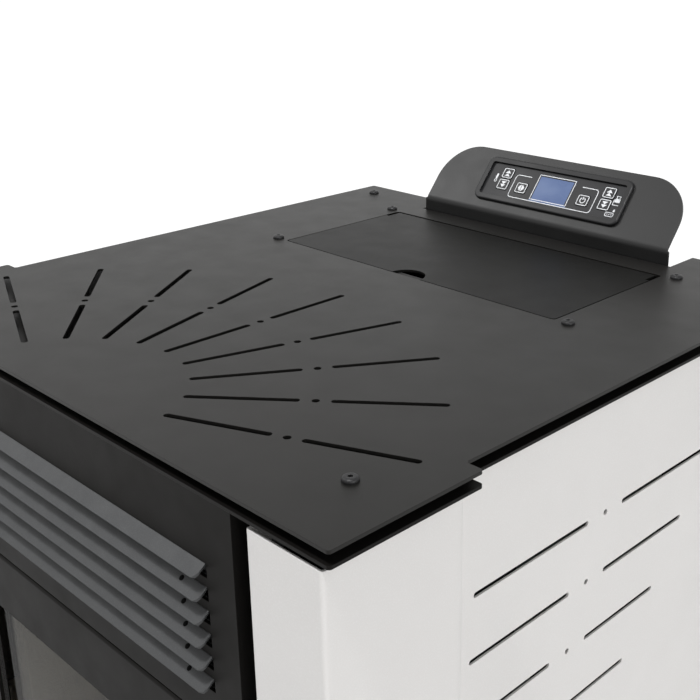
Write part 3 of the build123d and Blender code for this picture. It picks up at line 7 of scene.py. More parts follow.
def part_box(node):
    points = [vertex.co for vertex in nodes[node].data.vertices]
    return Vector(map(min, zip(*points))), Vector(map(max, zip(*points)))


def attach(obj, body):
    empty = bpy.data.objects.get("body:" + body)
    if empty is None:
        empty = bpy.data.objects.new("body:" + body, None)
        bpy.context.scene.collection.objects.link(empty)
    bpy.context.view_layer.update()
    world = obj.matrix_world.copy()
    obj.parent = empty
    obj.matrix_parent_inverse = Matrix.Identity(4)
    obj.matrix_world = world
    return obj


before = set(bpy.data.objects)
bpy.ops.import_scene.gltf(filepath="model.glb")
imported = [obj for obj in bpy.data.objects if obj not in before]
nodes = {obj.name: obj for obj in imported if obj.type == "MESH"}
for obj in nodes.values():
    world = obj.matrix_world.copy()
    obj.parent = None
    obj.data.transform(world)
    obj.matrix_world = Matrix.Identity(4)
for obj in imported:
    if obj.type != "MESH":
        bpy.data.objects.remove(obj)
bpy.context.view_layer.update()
mm = 0.001


# small helpers for node trees, so that each finish below reads as a list of layers

def newFinish(name):
    finish = bpy.data.materials.new(name)
    finish.use_nodes = True
    tree = finish.node_tree
    return finish, tree, tree.nodes["Principled BSDF"]


def feed(tree, socket, value):
    # a socket takes another node's output, or a plain value
    if isinstance(value, bpy.types.NodeSocket):
        tree.links.new(value, socket)
    else:
        socket.default_value = value


def objectPlace(tree, stretch=(1, 1, 1)):
    coords = tree.nodes.new("ShaderNodeTexCoord")
    mapping = tree.nodes.new("ShaderNodeMapping")
    mapping.inputs["Scale"].default_value = stretch
    tree.links.new(coords.outputs["Object"], mapping.inputs["Vector"])
    return mapping.outputs["Vector"]


def cloud(tree, place, size, detail=3.0, rough=0.55):
    noise = tree.nodes.new("ShaderNodeTexNoise")
    noise.inputs["Scale"].default_value = 1.0 / size
    noise.inputs["Detail"].default_value = detail
    noise.inputs["Roughness"].default_value = rough
    tree.links.new(place, noise.inputs["Vector"])
    return noise.outputs["Fac"]


def between(tree, fac, low, high, fromLow=0.3, fromHigh=0.7):
    span = tree.nodes.new("ShaderNodeMapRange")
    span.inputs["From Min"].default_value = fromLow
    span.inputs["From Max"].default_value = fromHigh
    span.inputs["To Min"].default_value = low
    span.inputs["To Max"].default_value = high
    tree.links.new(fac, span.inputs["Value"])
    return span.outputs["Result"]


def blendColour(tree, fac, first, second):
    mix = tree.nodes.new("ShaderNodeMix")
    mix.data_type = "RGBA"
    feed(tree, mix.inputs[0], fac)
    feed(tree, mix.inputs[6], first if isinstance(first, bpy.types.NodeSocket) else (*first, 1))
    feed(tree, mix.inputs[7], second if isinstance(second, bpy.types.NodeSocket) else (*second, 1))
    return mix.outputs[2]


def calc(tree, kind, first, second=0.0):
    step = tree.nodes.new("ShaderNodeMath")
    step.operation = kind
    feed(tree, step.inputs[0], first)
    feed(tree, step.inputs[1], second)
    return step.outputs["Value"]


def edgeWear(tree, radius):
    # 0 on flat faces, towards 1 on corners and rims, by how far the two normals agree
    rubbed, flatFace = 0.72, 0.995
    rounded = tree.nodes.new("ShaderNodeBevel")
    rounded.samples = 4
    rounded.inputs["Radius"].default_value = radius
    flat = tree.nodes.new("ShaderNodeNewGeometry")
    dot = tree.nodes.new("ShaderNodeVectorMath")
    dot.operation = "DOT_PRODUCT"
    tree.links.new(rounded.outputs["Normal"], dot.inputs[0])
    tree.links.new(flat.outputs["Normal"], dot.inputs[1])
    wear = between(tree, dot.outputs["Value"], 1.0, 0.0, rubbed, flatFace)
    return wear, rounded.outputs["Normal"]


def bumps(tree, shader, height, depth, strength, under=None):
    relief = tree.nodes.new("ShaderNodeBump")
    relief.inputs["Distance"].default_value = depth
    relief.inputs["Strength"].default_value = strength
    tree.links.new(height, relief.inputs["Height"])
    if under is not None:
        tree.links.new(under, relief.inputs["Normal"])
    tree.links.new(relief.outputs["Normal"], shader.inputs["Normal"])


def powderCoat(name, look):
    # baked paint: fine grain, faint cloudiness, paler rubbed edges
    finish, tree, shader = newFinish(name)
    place = objectPlace(tree)
    haze = cloud(tree, place, look["hazeSize"], 4)
    grain = cloud(tree, place, look["grainSize"], 2, 0.7)
    colour = blendColour(tree, between(tree, haze, 0, 1), look["colour"], look["haze"])
    flecks = between(tree, grain, 0, look["fleckAmount"], 0.5, 0.75)
    colour = blendColour(tree, flecks, colour, look["fleck"])
    wear, rounded = edgeWear(tree, look["edge"])
    worn = calc(tree, "MULTIPLY", wear, between(tree, haze, 0.2, 1.0))
    worn = calc(tree, "MULTIPLY", worn, look["wear"])
    feed(tree, shader.inputs["Base Color"], blendColour(tree, worn, colour, look["worn"]))
    low, high = look["roughness"]
    sheen = cloud(tree, place, look["hazeSize"] / 5, 5)
    feed(tree, shader.inputs["Roughness"], between(tree, sheen, low, high))
    shader.inputs["Metallic"].default_value = look.get("metallic", 0.0)
    shader.inputs["Specular IOR Level"].default_value = look.get("specular", 0.5)
    shader.inputs["Specular Tint"].default_value = (*look.get("gloss", (1, 1, 1)), 1)
    bumps(tree, shader, grain, look["grainDepth"], look.get("relief", 0.5), rounded)
    return finish


def sheetMetal(name, look):
    # bare or plated metal with rolling lines, smudges and bright edges
    finish, tree, shader = newFinish(name)
    place = objectPlace(tree)
    along = objectPlace(tree, look["stretch"])
    lines = cloud(tree, along, look["lineSize"], 3, 0.6)
    smudge = cloud(tree, place, look["smudgeSize"], 5)
    colour = blendColour(tree, between(tree, smudge, 0, 1), look["colour"], look["smudge"])
    wear, rounded = edgeWear(tree, look["edge"])
    colour = blendColour(tree, calc(tree, "MULTIPLY", wear, look["wear"]), colour, look["worn"])
    feed(tree, shader.inputs["Base Color"], colour)
    shader.inputs["Metallic"].default_value = look.get("metallic", 1.0)
    low, high = look["roughness"]
    halves = [calc(tree, "MULTIPLY", part, 0.5) for part in (lines, smudge)]
    mixed = calc(tree, "ADD", *halves)
    feed(tree, shader.inputs["Roughness"], between(tree, mixed, low, high))
    bumps(tree, shader, lines, look["lineDepth"], look.get("relief", 0.3), rounded)
    return finish


def castSkin(name, look):
    # sand-cast or pressed material: lumpy skin, pits, soot or rust
    finish, tree, shader = newFinish(name)
    place = objectPlace(tree)
    lumps = cloud(tree, place, look["lumpSize"], 5, 0.65)
    stain = cloud(tree, objectPlace(tree, look.get("runs", (1, 1, 1))), look["stainSize"], 5)
    colour = blendColour(tree, between(tree, lumps, 0, 1), look["colour"], look["pits"])
    stained = between(tree, stain, 0, look["stainAmount"], 0.45, 0.7)
    colour = blendColour(tree, stained, colour, look["stain"])
    wear, rounded = edgeWear(tree, look["edge"])
    colour = blendColour(tree, calc(tree, "MULTIPLY", wear, look["wear"]), colour, look["worn"])
    feed(tree, shader.inputs["Base Color"], colour)
    shader.inputs["Metallic"].default_value = look.get("metallic", 0.0)
    low, high = look["roughness"]
    feed(tree, shader.inputs["Roughness"], between(tree, lumps, low, high))
    bumps(tree, shader, lumps, look["lumpDepth"], look.get("relief", 0.6), rounded)
    return finish


def braid(name, look):
    # woven rope, glass tape or foam cells, by two crossed waves or by cells
    slant, wavesToStrand = 0.8, 0.35
    finish, tree, shader = newFinish(name)
    place = objectPlace(tree)
    if look.get("cells"):
        cells = tree.nodes.new("ShaderNodeTexVoronoi")
        cells.inputs["Scale"].default_value = 1.0 / look["strand"]
        tree.links.new(place, cells.inputs["Vector"])
        weave = cells.outputs["Distance"]
    else:
        waves = []
        for turn in (slant, -slant):
            tilt = tree.nodes.new("ShaderNodeMapping")
            tilt.inputs["Rotation"].default_value = (turn, turn, 0)
            tree.links.new(place, tilt.inputs["Vector"])
            wave = tree.nodes.new("ShaderNodeTexWave")
            wave.bands_direction = "DIAGONAL"
            wave.inputs["Scale"].default_value = wavesToStrand / look["strand"]
            wave.inputs["Distortion"].default_value = 0.6
            tree.links.new(tilt.outputs["Vector"], wave.inputs["Vector"])
            waves.append(wave.outputs["Fac"])
        weave = calc(tree, "MAXIMUM", *waves)
    fuzz = cloud(tree, place, look["strand"] * 4, 4)
    colour = blendColour(tree, between(tree, weave, 0, 1, 0, 1), look["valley"], look["colour"])
    colour = blendColour(tree, between(tree, fuzz, 0, look["stainAmount"]), colour, look["stain"])
    feed(tree, shader.inputs["Base Color"], colour)
    feed(tree, shader.inputs["Roughness"], between(tree, fuzz, 0.82, 0.97))
    bumps(tree, shader, weave, look["strand"] * 0.5, 0.8)
    return finish


def moulded(name, look):
    # moulded plastic or rubber: spark-eroded texture, slight gloss changes, scuffed rims
    finish, tree, shader = newFinish(name)
    place = objectPlace(tree)
    skin = cloud(tree, place, look["skinSize"], 2, 0.6)
    film = cloud(tree, place, look["skinSize"] * 60, 5)
    colour = blendColour(tree, between(tree, film, 0, 1), look["colour"], look["film"])
    wear, rounded = edgeWear(tree, look["edge"])
    colour = blendColour(tree, calc(tree, "MULTIPLY", wear, look["wear"]), colour, look["worn"])
    feed(tree, shader.inputs["Base Color"], colour)
    low, high = look["roughness"]
    feed(tree, shader.inputs["Roughness"], between(tree, film, low, high))
    shader.inputs["Specular IOR Level"].default_value = look.get("specular", 0.5)
    shader.inputs["Coat Weight"].default_value = look.get("coat", 0.0)
    shader.inputs["Coat Roughness"].default_value = 0.08
    bumps(tree, shader, skin, look["skinDepth"], look.get("relief", 0.5), rounded)
    return finish


def dressNode(finish, *names):
    for name in names:
        for slot in nodes[name].material_slots:
            slot.material = finish


def tint(*levels):
    # screen levels 0-255 to the linear values that a shader takes
    return tuple(((v / 255 + 0.055) / 1.055) ** 2.4 if v > 10 else v / 255 / 12.92 for v in levels)


# the black top: two plates, the lid and the control bracket, in four shades of one fine powder
# coat; the bracket's darker shade is painted shade
topBlack = {
    "colour": tint(20, 20, 19), "haze": tint(24, 23, 22), "hazeSize": 0.13,
    "grainSize": 0.0007, "grainDepth": 0.00012, "relief": 0.35,
    "fleck": tint(46, 45, 44), "fleckAmount": 0.2, "specular": 0.195, "gloss": (1, 0.975, 0.94),
    "roughness": (0.37, 0.42), "edge": 0.0004, "wear": 0.15, "worn": tint(50, 49, 48),
}
lidBlack = {**topBlack, "colour": tint(16, 16, 15), "haze": tint(19, 19, 18), "specular": 0.075}
# painted shade: the bracket's colour and flecks are darker than the top's, so that its upright
# riser looks as dark as in deep shade; its stronger reflection keeps the leaning face bright
bracketShadedBlack = {
    **topBlack, "colour": tint(12, 12, 12), "haze": tint(14, 14, 14), "fleck": tint(28, 28, 28),
    "specular": 0.41, "gloss": (1, 1, 1),
}
lowerBlack = {
    **topBlack, "colour": tint(17, 16, 15), "haze": tint(20, 19, 18),
    "specular": 0.08, "wear": 0.05,
}
dressNode(powderCoat("topCoat", topBlack), "top_plate")
dressNode(powderCoat("lidCoat", lidBlack), "hopper_lid")
dressNode(powderCoat("bracketShadeCoat", bracketShadedBlack), "control_bracket")
dressNode(powderCoat("lowerCoat", lowerBlack), "lower_plate")

# the front: head panel, door and drawer front, a shade darker and flatter than the top
frontBlack = {
    **topBlack, "colour": tint(17, 16, 15), "haze": tint(20, 19, 18), "fleck": tint(30, 29, 28),
    "roughness": (0.46, 0.54), "specular": 0.08, "wear": 0.25, "worn": tint(48, 47, 46),
}
doorBlack = {**frontBlack, "worn": tint(60, 58, 56), "wear": 0.4}
dressNode(powderCoat("frontCoat", frontBlack), "front_frame", "drawer_front")
dressNode(powderCoat("doorCoat", doorBlack), "door_frame")

# the grey flaps that lean out of the head panel
flapGrey = {
    "colour": tint(58, 59, 60), "haze": tint(62, 63, 64), "hazeSize": 0.05,
    "grainSize": 0.0006, "grainDepth": 0.0001, "relief": 0.3,
    "fleck": tint(96, 97, 98), "fleckAmount": 0.3,
    "roughness": (0.42, 0.54), "edge": 0.0004, "wear": 0.3, "worn": tint(110, 111, 112),
    "metallic": 0.35,
}
dressNode(powderCoat("louvreCoat", flapGrey), "louvre_grille")

# white side panels
panelWhite = {
    "colour": tint(222, 220, 218), "haze": tint(227, 225, 223), "hazeSize": 0.16,
    "grainSize": 0.0009, "grainDepth": 0.00009, "relief": 0.25,
    "fleck": tint(236, 235, 234), "fleckAmount": 0.5,
    "roughness": (0.36, 0.5), "edge": 0.0006, "wear": 0.35, "worn": tint(242, 242, 241),
}
dressNode(powderCoat("whiteCoat", panelWhite), "left_side_panel", "right_side_panel")

# the unseen steelwork: rear panel, chassis and the hot box
rearBlack = {**frontBlack, "colour": tint(44, 44, 45), "haze": tint(52, 52, 53), "wear": 0.6}
chassisBlack = {**rearBlack, "colour": tint(36, 36, 37), "grainDepth": 0.00015}
dressNode(powderCoat("rearCoat", rearBlack), "rear_panel")
dressNode(powderCoat("chassisCoat", chassisBlack), "chassis_frame")
heatPaint = castSkin("heatPaint", {
    "colour": tint(38, 37, 36), "pits": tint(30, 29, 28), "lumpSize": 0.0012, "lumpDepth": 0.0001,
    "stain": tint(78, 70, 62), "stainSize": 0.07, "stainAmount": 0.5, "runs": (1, 1, 0.3),
    "roughness": (0.62, 0.85), "edge": 0.0006, "wear": 0.4, "worn": tint(96, 92, 88), "relief": 0.4,
})
dressNode(heatPaint, "firebox_shell", "flue_spigot", "smoke_fan_housing", "auger_tube")

# cast iron of the burn pot, pressed boards round the fire
potIron = castSkin("potIron", {
    "colour": tint(52, 48, 45), "pits": tint(34, 31, 30), "lumpSize": 0.0018, "lumpDepth": 0.0004,
    "stain": tint(128, 112, 98), "stainSize": 0.022, "stainAmount": 0.6, "metallic": 0.25,
    "roughness": (0.6, 0.88), "edge": 0.0009, "wear": 0.5, "worn": tint(120, 112, 104),
})
dressNode(potIron, "burn_pot", "burn_pot_cradle")
fireBoard = castSkin("fireBoard", {
    "colour": tint(68, 64, 58), "pits": tint(55, 51, 46), "lumpSize": 0.0026, "lumpDepth": 0.0005,
    "stain": tint(36, 33, 30), "stainSize": 0.035, "stainAmount": 0.85, "runs": (1, 1, 0.3),
    "roughness": (0.85, 0.97), "edge": 0.0012, "wear": 0.4, "worn": tint(104, 99, 91),
})
dressNode(fireBoard, "left_fire_board", "right_fire_board", "back_fire_board", "baffle_board")

# plain metals
bareSteel = sheetMetal("bareSteel", {
    "colour": tint(168, 168, 170), "smudge": tint(142, 141, 142), "smudgeSize": 0.03,
    "stretch": (1, 6, 6), "lineSize": 0.004, "lineDepth": 0.00005, "roughness": (0.26, 0.42),
    "edge": 0.0004, "wear": 0.6, "worn": tint(206, 206, 208),
})
dressNode(bareSteel, "auger_screw", "heat_exchanger_tubes", "hopper_guard")
dressNode(bareSteel, "room_fan_wheel", "smoke_fan_wheel")
zincSheet = sheetMetal("zincSheet", {
    "colour": tint(176, 180, 184), "smudge": tint(150, 155, 160), "smudgeSize": 0.018,
    "stretch": (1, 1, 1), "lineSize": 0.009, "lineDepth": 0.00003, "roughness": (0.32, 0.5),
    "edge": 0.0004, "wear": 0.5, "worn": tint(208, 211, 214),
})
dressNode(zincSheet, "air_intake_pipe", "ash_drawer", "hopper_bin", "room_fan_housing")
springSteel = sheetMetal("springSteel", {
    "colour": tint(148, 146, 142), "smudge": tint(118, 112, 104), "smudgeSize": 0.01,
    "stretch": (8, 1, 1), "lineSize": 0.002, "lineDepth": 0.00003, "roughness": (0.28, 0.4),
    "edge": 0.0003, "wear": 0.5, "worn": tint(186, 184, 180),
})
dressNode(springSteel, "glass_clips", "door_hinge_pins", "lid_hinge_pins")
blackBolt = sheetMetal("blackBolt", {
    "colour": tint(38, 38, 39), "smudge": tint(28, 28, 29), "smudgeSize": 0.004,
    "stretch": (1, 1, 1), "lineSize": 0.0006, "lineDepth": 0.00003, "roughness": (0.36, 0.5),
    "edge": 0.0004, "wear": 0.7, "worn": tint(104, 104, 104), "metallic": 0.5,
})
dressNode(blackBolt, "top_screws")
motorCan = powderCoat("motorCan", {
    **rearBlack, "colour": tint(112, 114, 116), "haze": tint(124, 126, 128),
    "fleck": tint(150, 151, 152), "worn": tint(176, 177, 178), "roughness": (0.36, 0.5),
})
dressNode(motorCan, "auger_gearmotor", "room_fan_motor", "smoke_fan_motor")
igniterWhite = castSkin("igniterWhite", {
    "colour": tint(206, 198, 184), "pits": tint(186, 178, 164),
    "lumpSize": 0.0008, "lumpDepth": 0.00006,
    "stain": tint(120, 108, 96), "stainSize": 0.012, "stainAmount": 0.4,
    "roughness": (0.4, 0.6), "edge": 0.0004, "wear": 0.3, "worn": tint(224, 218, 206),
})
dressNode(igniterWhite, "igniter")
print("metals and boards done")

# soft seals, each with its own weave
ropeLook = {
    "colour": tint(96, 94, 90), "valley": tint(48, 46, 44),
    "stain": tint(60, 56, 52), "stainAmount": 0.6, "strand": 0.0028,
}
dressNode(braid("ropeSeal", ropeLook), "door_rope_seal")
tapeLook = {
    "colour": tint(46, 45, 44), "valley": tint(22, 21, 21),
    "stain": tint(34, 32, 30), "stainAmount": 0.5, "strand": 0.0012,
}
dressNode(braid("glassTape", tapeLook), "glass_gasket")
foamLook = {
    "colour": tint(40, 40, 41), "valley": tint(16, 16, 16),
    "stain": tint(58, 57, 55), "stainAmount": 0.4, "strand": 0.0009, "cells": True,
}
dressNode(braid("blackFoam", foamLook), "lid_gasket")

# mouldings: bezel, keys, handle, switch, inlet, feet
bezelLook = {
    "colour": tint(24, 24, 25), "film": tint(30, 30, 31), "skinSize": 0.0008, "skinDepth": 0.00004,
    "roughness": (0.3, 0.42), "specular": 0.25,
    "edge": 0.0005, "wear": 0.4, "worn": tint(64, 64, 65),
}
dressNode(moulded("bezelPlastic", bezelLook), "control_bezel")
filmLook = {
    **bezelLook, "colour": tint(24, 24, 26), "film": tint(31, 31, 33), "skinDepth": 0.00002,
    "roughness": (0.34, 0.46), "specular": 0.3,
}
keypadFilm = moulded("keypadFilm", filmLook)
dressNode(keypadFilm, "keypad_panel")
keyNodes = [
    "left_up_key", "left_down_key", "mode_key", "power_key", "right_up_key", "right_down_key",
]
keyLook = {
    **filmLook, "colour": tint(28, 28, 30), "film": tint(35, 35, 37), "worn": tint(70, 70, 72),
}
dressNode(moulded("keyPlastic", keyLook), *keyNodes)
handleLook = {
    **bezelLook, "colour": tint(24, 24, 24), "film": tint(30, 30, 30),
    "roughness": (0.42, 0.56), "specular": 0.4,
}
dressNode(moulded("handleBlack", handleLook), "door_handle")
boxLook = {
    **handleLook, "colour": tint(58, 60, 62), "film": tint(66, 68, 70), "worn": tint(112, 113, 114),
}
dressNode(moulded("controlBox", boxLook), "control_board")
inletLook = {
    **handleLook, "colour": tint(20, 20, 21), "film": tint(26, 26, 27), "roughness": (0.36, 0.5),
}
dressNode(moulded("inletPlastic", inletLook), "power_inlet")
rockerLook = {**inletLook, "roughness": (0.2, 0.3), "coat": 0.4}
dressNode(moulded("rockerPlastic", rockerLook), "rocker_switch")
footLook = {
    **handleLook, "colour": tint(26, 26, 26), "film": tint(36, 35, 34), "skinDepth": 0.0001,
    "roughness": (0.72, 0.88),
}
footNodes = ["left_front_foot", "left_rear_foot", "right_front_foot", "right_rear_foot"]
dressNode(moulded("footRubber", footLook), *footNodes)
print("seals and mouldings done")

# door glass: clear ceramic with a warm tint and a haze of soot low down
glassLook = {
    "tint": tint(236, 232, 222), "soot": tint(34, 30, 27), "bend": 1.1,
    "sootTop": 0.30, "sootFade": 0.16, "sootAmount": 0.35, "patchSize": 0.035,
    "roughness": (0.02, 0.4), "clearness": (1.0, 0.4),
}
stoveGlass, glassTree, glassShader = newFinish("stoveGlass")
glassPlace = objectPlace(glassTree)
height = glassTree.nodes.new("ShaderNodeSeparateXYZ")
glassTree.links.new(glassPlace, height.inputs["Vector"])
sootTop, sootEnd = glassLook["sootTop"], glassLook["sootTop"] + glassLook["sootFade"]
low = between(glassTree, height.outputs["Z"], 1.0, 0.0, sootTop, sootEnd)
patches = cloud(glassTree, glassPlace, glassLook["patchSize"], 6)
patchy = between(glassTree, patches, 0.0, 1.0, 0.35, 0.75)
soot = calc(glassTree, "MULTIPLY", low, patchy)
soot = calc(glassTree, "MULTIPLY", soot, glassLook["sootAmount"])
glassColour = blendColour(glassTree, soot, glassLook["tint"], glassLook["soot"])
feed(glassTree, glassShader.inputs["Base Color"], glassColour)
glassRough = between(glassTree, soot, *glassLook["roughness"], 0.0, 0.5)
feed(glassTree, glassShader.inputs["Roughness"], glassRough)
glassClear = between(glassTree, soot, *glassLook["clearness"], 0.0, 1.0)
feed(glassTree, glassShader.inputs["Transmission Weight"], glassClear)
glassShader.inputs["IOR"].default_value = glassLook["bend"]
dressNode(stoveGlass, "door_glass")

# display: pale blue cell with faint rows and columns of dots
displayLook = {
    "colour": tint(86, 106, 146), "darker": tint(76, 95, 136), "driftSize": 0.03,
    "dot": 0.0006, "dotTone": 0.07, "glow": 0.1, "specular": 0.15, "roughness": (0.22, 0.34),
}
displayBlue, lcdTree, lcdShader = newFinish("displayBlue")
lcdPlace = objectPlace(lcdTree)
drift = cloud(lcdTree, lcdPlace, displayLook["driftSize"], 2)
dots = lcdTree.nodes.new("ShaderNodeTexVoronoi")
dots.inputs["Scale"].default_value = 1.0 / displayLook["dot"]
dots.inputs["Randomness"].default_value = 0.0
lcdTree.links.new(lcdPlace, dots.inputs["Vector"])
dotted = between(lcdTree, dots.outputs["Distance"], 0, displayLook["dotTone"], 0.2, 0.6)
tone = calc(lcdTree, "ADD", between(lcdTree, drift, 0, 1), dotted)
lcdColour = blendColour(lcdTree, tone, displayLook["colour"], displayLook["darker"])
feed(lcdTree, lcdShader.inputs["Base Color"], lcdColour)
feed(lcdTree, lcdShader.inputs["Emission Color"], lcdColour)
lcdShader.inputs["Emission Strength"].default_value = displayLook["glow"]
feed(lcdTree, lcdShader.inputs["Roughness"], between(lcdTree, drift, *displayLook["roughness"]))
lcdShader.inputs["Specular IOR Level"].default_value = displayLook["specular"]
dressNode(displayBlue, "display_screen")

# white print of the keypad
printWhite = moulded("printWhite", {
    "colour": tint(226, 228, 232), "film": tint(236, 238, 240),
    "skinSize": 0.0005, "skinDepth": 0.00001, "roughness": (0.45, 0.6),
    "edge": 0.0001, "wear": 0.2, "worn": tint(250, 250, 250),
})


# the leaning face of the control bracket: places on it are (across, up, out)
faceLook = {
    "root": Vector((0, 0.214, 0.952)), "lean": math.radians(40),
    "printThick": 0.00006, "printGap": 0.00001, "lineWidth": 0.0007,
}
faceUp = Vector((0, math.sin(faceLook["lean"]), math.cos(faceLook["lean"])))
faceOut = Vector((0, -math.cos(faceLook["lean"]), math.sin(faceLook["lean"])))


def onFace(across, up, out):
    return faceLook["root"] + Vector((across, 0, 0)) + faceUp * up + faceOut * out


def facePlace(node):
    # where a node's middle is on the face, half its height, and how far its top stands out
    low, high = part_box(node)
    across = (low.x + high.x) / 2
    spots = [Vector(v.co) - faceLook["root"] for v in nodes[node].data.vertices]
    ups = [spot.dot(faceUp) for spot in spots]
    top = max(spot.dot(faceOut) for spot in spots)
    return across, (min(ups) + max(ups)) / 2, (max(ups) - min(ups)) / 2, top


def slabOnFace(mesh, outline, out):
    # a thin printed patch with its edge, from an outline in face coordinates (mm)
    rings = []
    for lift in (out, out + faceLook["printThick"]):
        rings.append([mesh.verts.new(onFace(a * mm, u * mm, lift)) for a, u in outline])
    mesh.faces.new(rings[1])
    mesh.faces.new(list(reversed(rings[0])))
    count = len(outline)
    for i in range(count):
        j = (i + 1) % count
        mesh.faces.new((rings[0][i], rings[0][j], rings[1][j], rings[1][i]))


def ribbonOnFace(mesh, points, out, closed=False, width=None):
    # a line of even width along points, mitred at its corners
    half = (width or faceLook["lineWidth"]) / mm / 2
    sharpest = 0.35  # keeps the mitre of a tight corner short
    count = len(points)
    left, right = [], []
    for i, (a, u) in enumerate(points):
        before = points[i - 1] if closed or i else None
        after = points[(i + 1) % count] if closed or i < count - 1 else None
        runs = []
        if before is not None:
            runs.append(Vector((a - before[0], u - before[1])).normalized())
        if after is not None:
            runs.append(Vector((after[0] - a, after[1] - u)).normalized())
        mean = sum(runs, Vector((0, 0))).normalized()
        normal = Vector((-mean.y, mean.x))
        spread = half / max(sharpest, normal.dot(Vector((-runs[0].y, runs[0].x))))
        left.append((a + normal.x * spread, u + normal.y * spread))
        right.append((a - normal.x * spread, u - normal.y * spread))
    steps = count if closed else count - 1
    for i in range(steps):
        j = (i + 1) % count
        slabOnFace(mesh, [right[i], right[j], left[j], left[i]], out)


def roundedBox(cx, cy, width, height, radius, steps=4):
    points = []
    for corner, (sx, sy) in enumerate(((1, 1), (-1, 1), (-1, -1), (1, -1))):
        for step in range(steps + 1):
            turn = math.radians(90 * corner + 90 * step / steps)
            points.append((cx + sx * (width / 2 - radius) + radius * math.cos(turn),
                           cy + sy * (height / 2 - radius) + radius * math.sin(turn)))
    return points


def circlePoints(cx, cy, radius, start=0, sweep=360, steps=20):
    whole = sweep == 360
    count = steps if whole else steps + 1
    return [(cx + radius * math.cos(math.radians(start + sweep * i / steps)),
             cy + radius * math.sin(math.radians(start + sweep * i / steps))) for i in range(count)]


def finishPiece(name, mesh, finish, body):
    data = bpy.data.meshes.new(name)
    bmesh.ops.recalc_face_normals(mesh, faces=mesh.faces)
    mesh.to_mesh(data)
    mesh.free()
    piece = bpy.data.objects.new(name, data)
    bpy.context.scene.collection.objects.link(piece)
    data.materials.append(finish)
    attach(piece, body)
    return piece


# symbols on the keys, each riding its own key
keyPrint = {
    "frameWide": 10.4, "frameHigh": 9.0, "corner": 1.1,
    "arrowWide": 5.8, "arrowHigh": 3.0, "arrowStep": 3.0,
    "powerRadius": 2.5, "powerStart": 120, "powerSweep": 300, "powerLow": 0.6, "powerHigh": 3.4,
    "powerLine": 0.0008,
    "logHalf": [
        (0.3, -3.1), (1.5, -2.5), (2.7, -1.2), (3.3, 0), (2.7, 1.2), (1.5, 2.5), (0.3, 3.1),
    ],
}


def drawArrows(mesh, cx, cy, way, out):
    half, tall = keyPrint["arrowWide"] / 2, keyPrint["arrowHigh"]
    for step in (-0.5, 0.5):
        base = cy + step * keyPrint["arrowStep"] - way * tall / 2
        slabOnFace(mesh, [(cx - half, base), (cx + half, base), (cx, base + way * tall)], out)


def drawPower(mesh, cx, cy, out):
    radius, start, sweep = (keyPrint["power" + k] for k in ("Radius", "Start", "Sweep"))
    ring = circlePoints(cx, cy, radius, start, sweep, 18)
    stroke = [(cx, cy + keyPrint["powerLow"]), (cx, cy + keyPrint["powerHigh"])]
    for line in (ring, stroke):
        ribbonOnFace(mesh, line, out, width=keyPrint["powerLine"])


def drawMode(mesh, cx, cy, out):
    # a split log seen from its end
    for side in (-1, 1):
        slabOnFace(mesh, [(cx + side * x, cy + y) for x, y in keyPrint["logHalf"]], out)


for name in keyNodes:
    across, up, _, top = facePlace(name)
    cx, cy, out = across / mm, up / mm, top + faceLook["printGap"]
    mesh = bmesh.new()
    rim = roundedBox(cx, cy, keyPrint["frameWide"], keyPrint["frameHigh"], keyPrint["corner"])
    ribbonOnFace(mesh, rim, out, True)
    if name.endswith("up_key"):
        drawArrows(mesh, cx, cy, 1, out)
    elif name.endswith("down_key"):
        drawArrows(mesh, cx, cy, -1, out)
    elif name == "power_key":
        drawPower(mesh, cx, cy, out)
    else:
        drawMode(mesh, cx, cy, out)
    finishPiece(name + "_print", mesh, printWhite, name + "_body")

# lines and small signs printed on the film between the keys
filmPrint = {
    "loopBottom": 17.15, "loopTop": 39.6, "loopLeft": -41.8, "loopRight": 47.2, "loopCorner": 3.0,
    "loopInLeft": -25.3, "loopInRight": 30.1,
    "screenRim": 0.4, "screenCorner": 0.4, "screenFoot": 1.1, "border": 1.1, "thinLine": 0.0006,
    "thermometerX": -62.7, "thermometerLow": 28.8, "sackX": 68.4, "sackLow": 29.0,
    "trayX": 66.4, "trayY": 19.8, "trayWide": 7.8, "trayHigh": 3.5, "trayCorner": 1.0,
    "pelletStep": 2.0, "pelletRadius": 0.5, "flameAside": 3.0, "flameAbove": 4.2, "flameSize": 1.5,
}
screenAcross, screenUp, screenHalf, screenTop = facePlace("display_screen")
filmTop = max(facePlace("keypad_panel")[3], screenTop) + faceLook["printGap"]
screenLow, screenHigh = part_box("display_screen")
halfWide = (screenHigh.x - screenLow.x) / 2 / mm - filmPrint["screenRim"]
halfHigh = screenHalf / mm - filmPrint["screenRim"]
lcdX, lcdY = screenAcross / mm, screenUp / mm


def quarterTurn(cx, cy, radius, start):
    return circlePoints(cx, cy, radius, start, 90, 5)


def filmLines():
    mesh = bmesh.new()
    look = filmPrint
    foot = look["screenFoot"] / 2
    wide, tall = 2 * halfWide, 2 * (halfHigh - foot)
    screenFrame = roundedBox(lcdX, lcdY + foot, wide, tall, look["screenCorner"], 2)
    ribbonOnFace(mesh, screenFrame, filmTop, True)
    r, low, high = look["loopCorner"], look["loopBottom"], look["loopTop"]
    ribbonOnFace(mesh, [(lcdX - halfWide, low), (lcdX + halfWide, low)], filmTop)
    left, right = look["loopLeft"], look["loopRight"]
    leftLoop = [(look["loopInLeft"], high)] + quarterTurn(left + r, high - r, r, 90)
    leftLoop += quarterTurn(left + r, low + r, r, 180) + [(lcdX - halfWide, low)]
    ribbonOnFace(mesh, leftLoop, filmTop)
    rightLoop = [(lcdX + halfWide, low)] + quarterTurn(right - r, low + r, r, 270)
    rightLoop += quarterTurn(right - r, high - r, r, 0) + [(look["loopInRight"], high)]
    ribbonOnFace(mesh, rightLoop, filmTop)
    return mesh


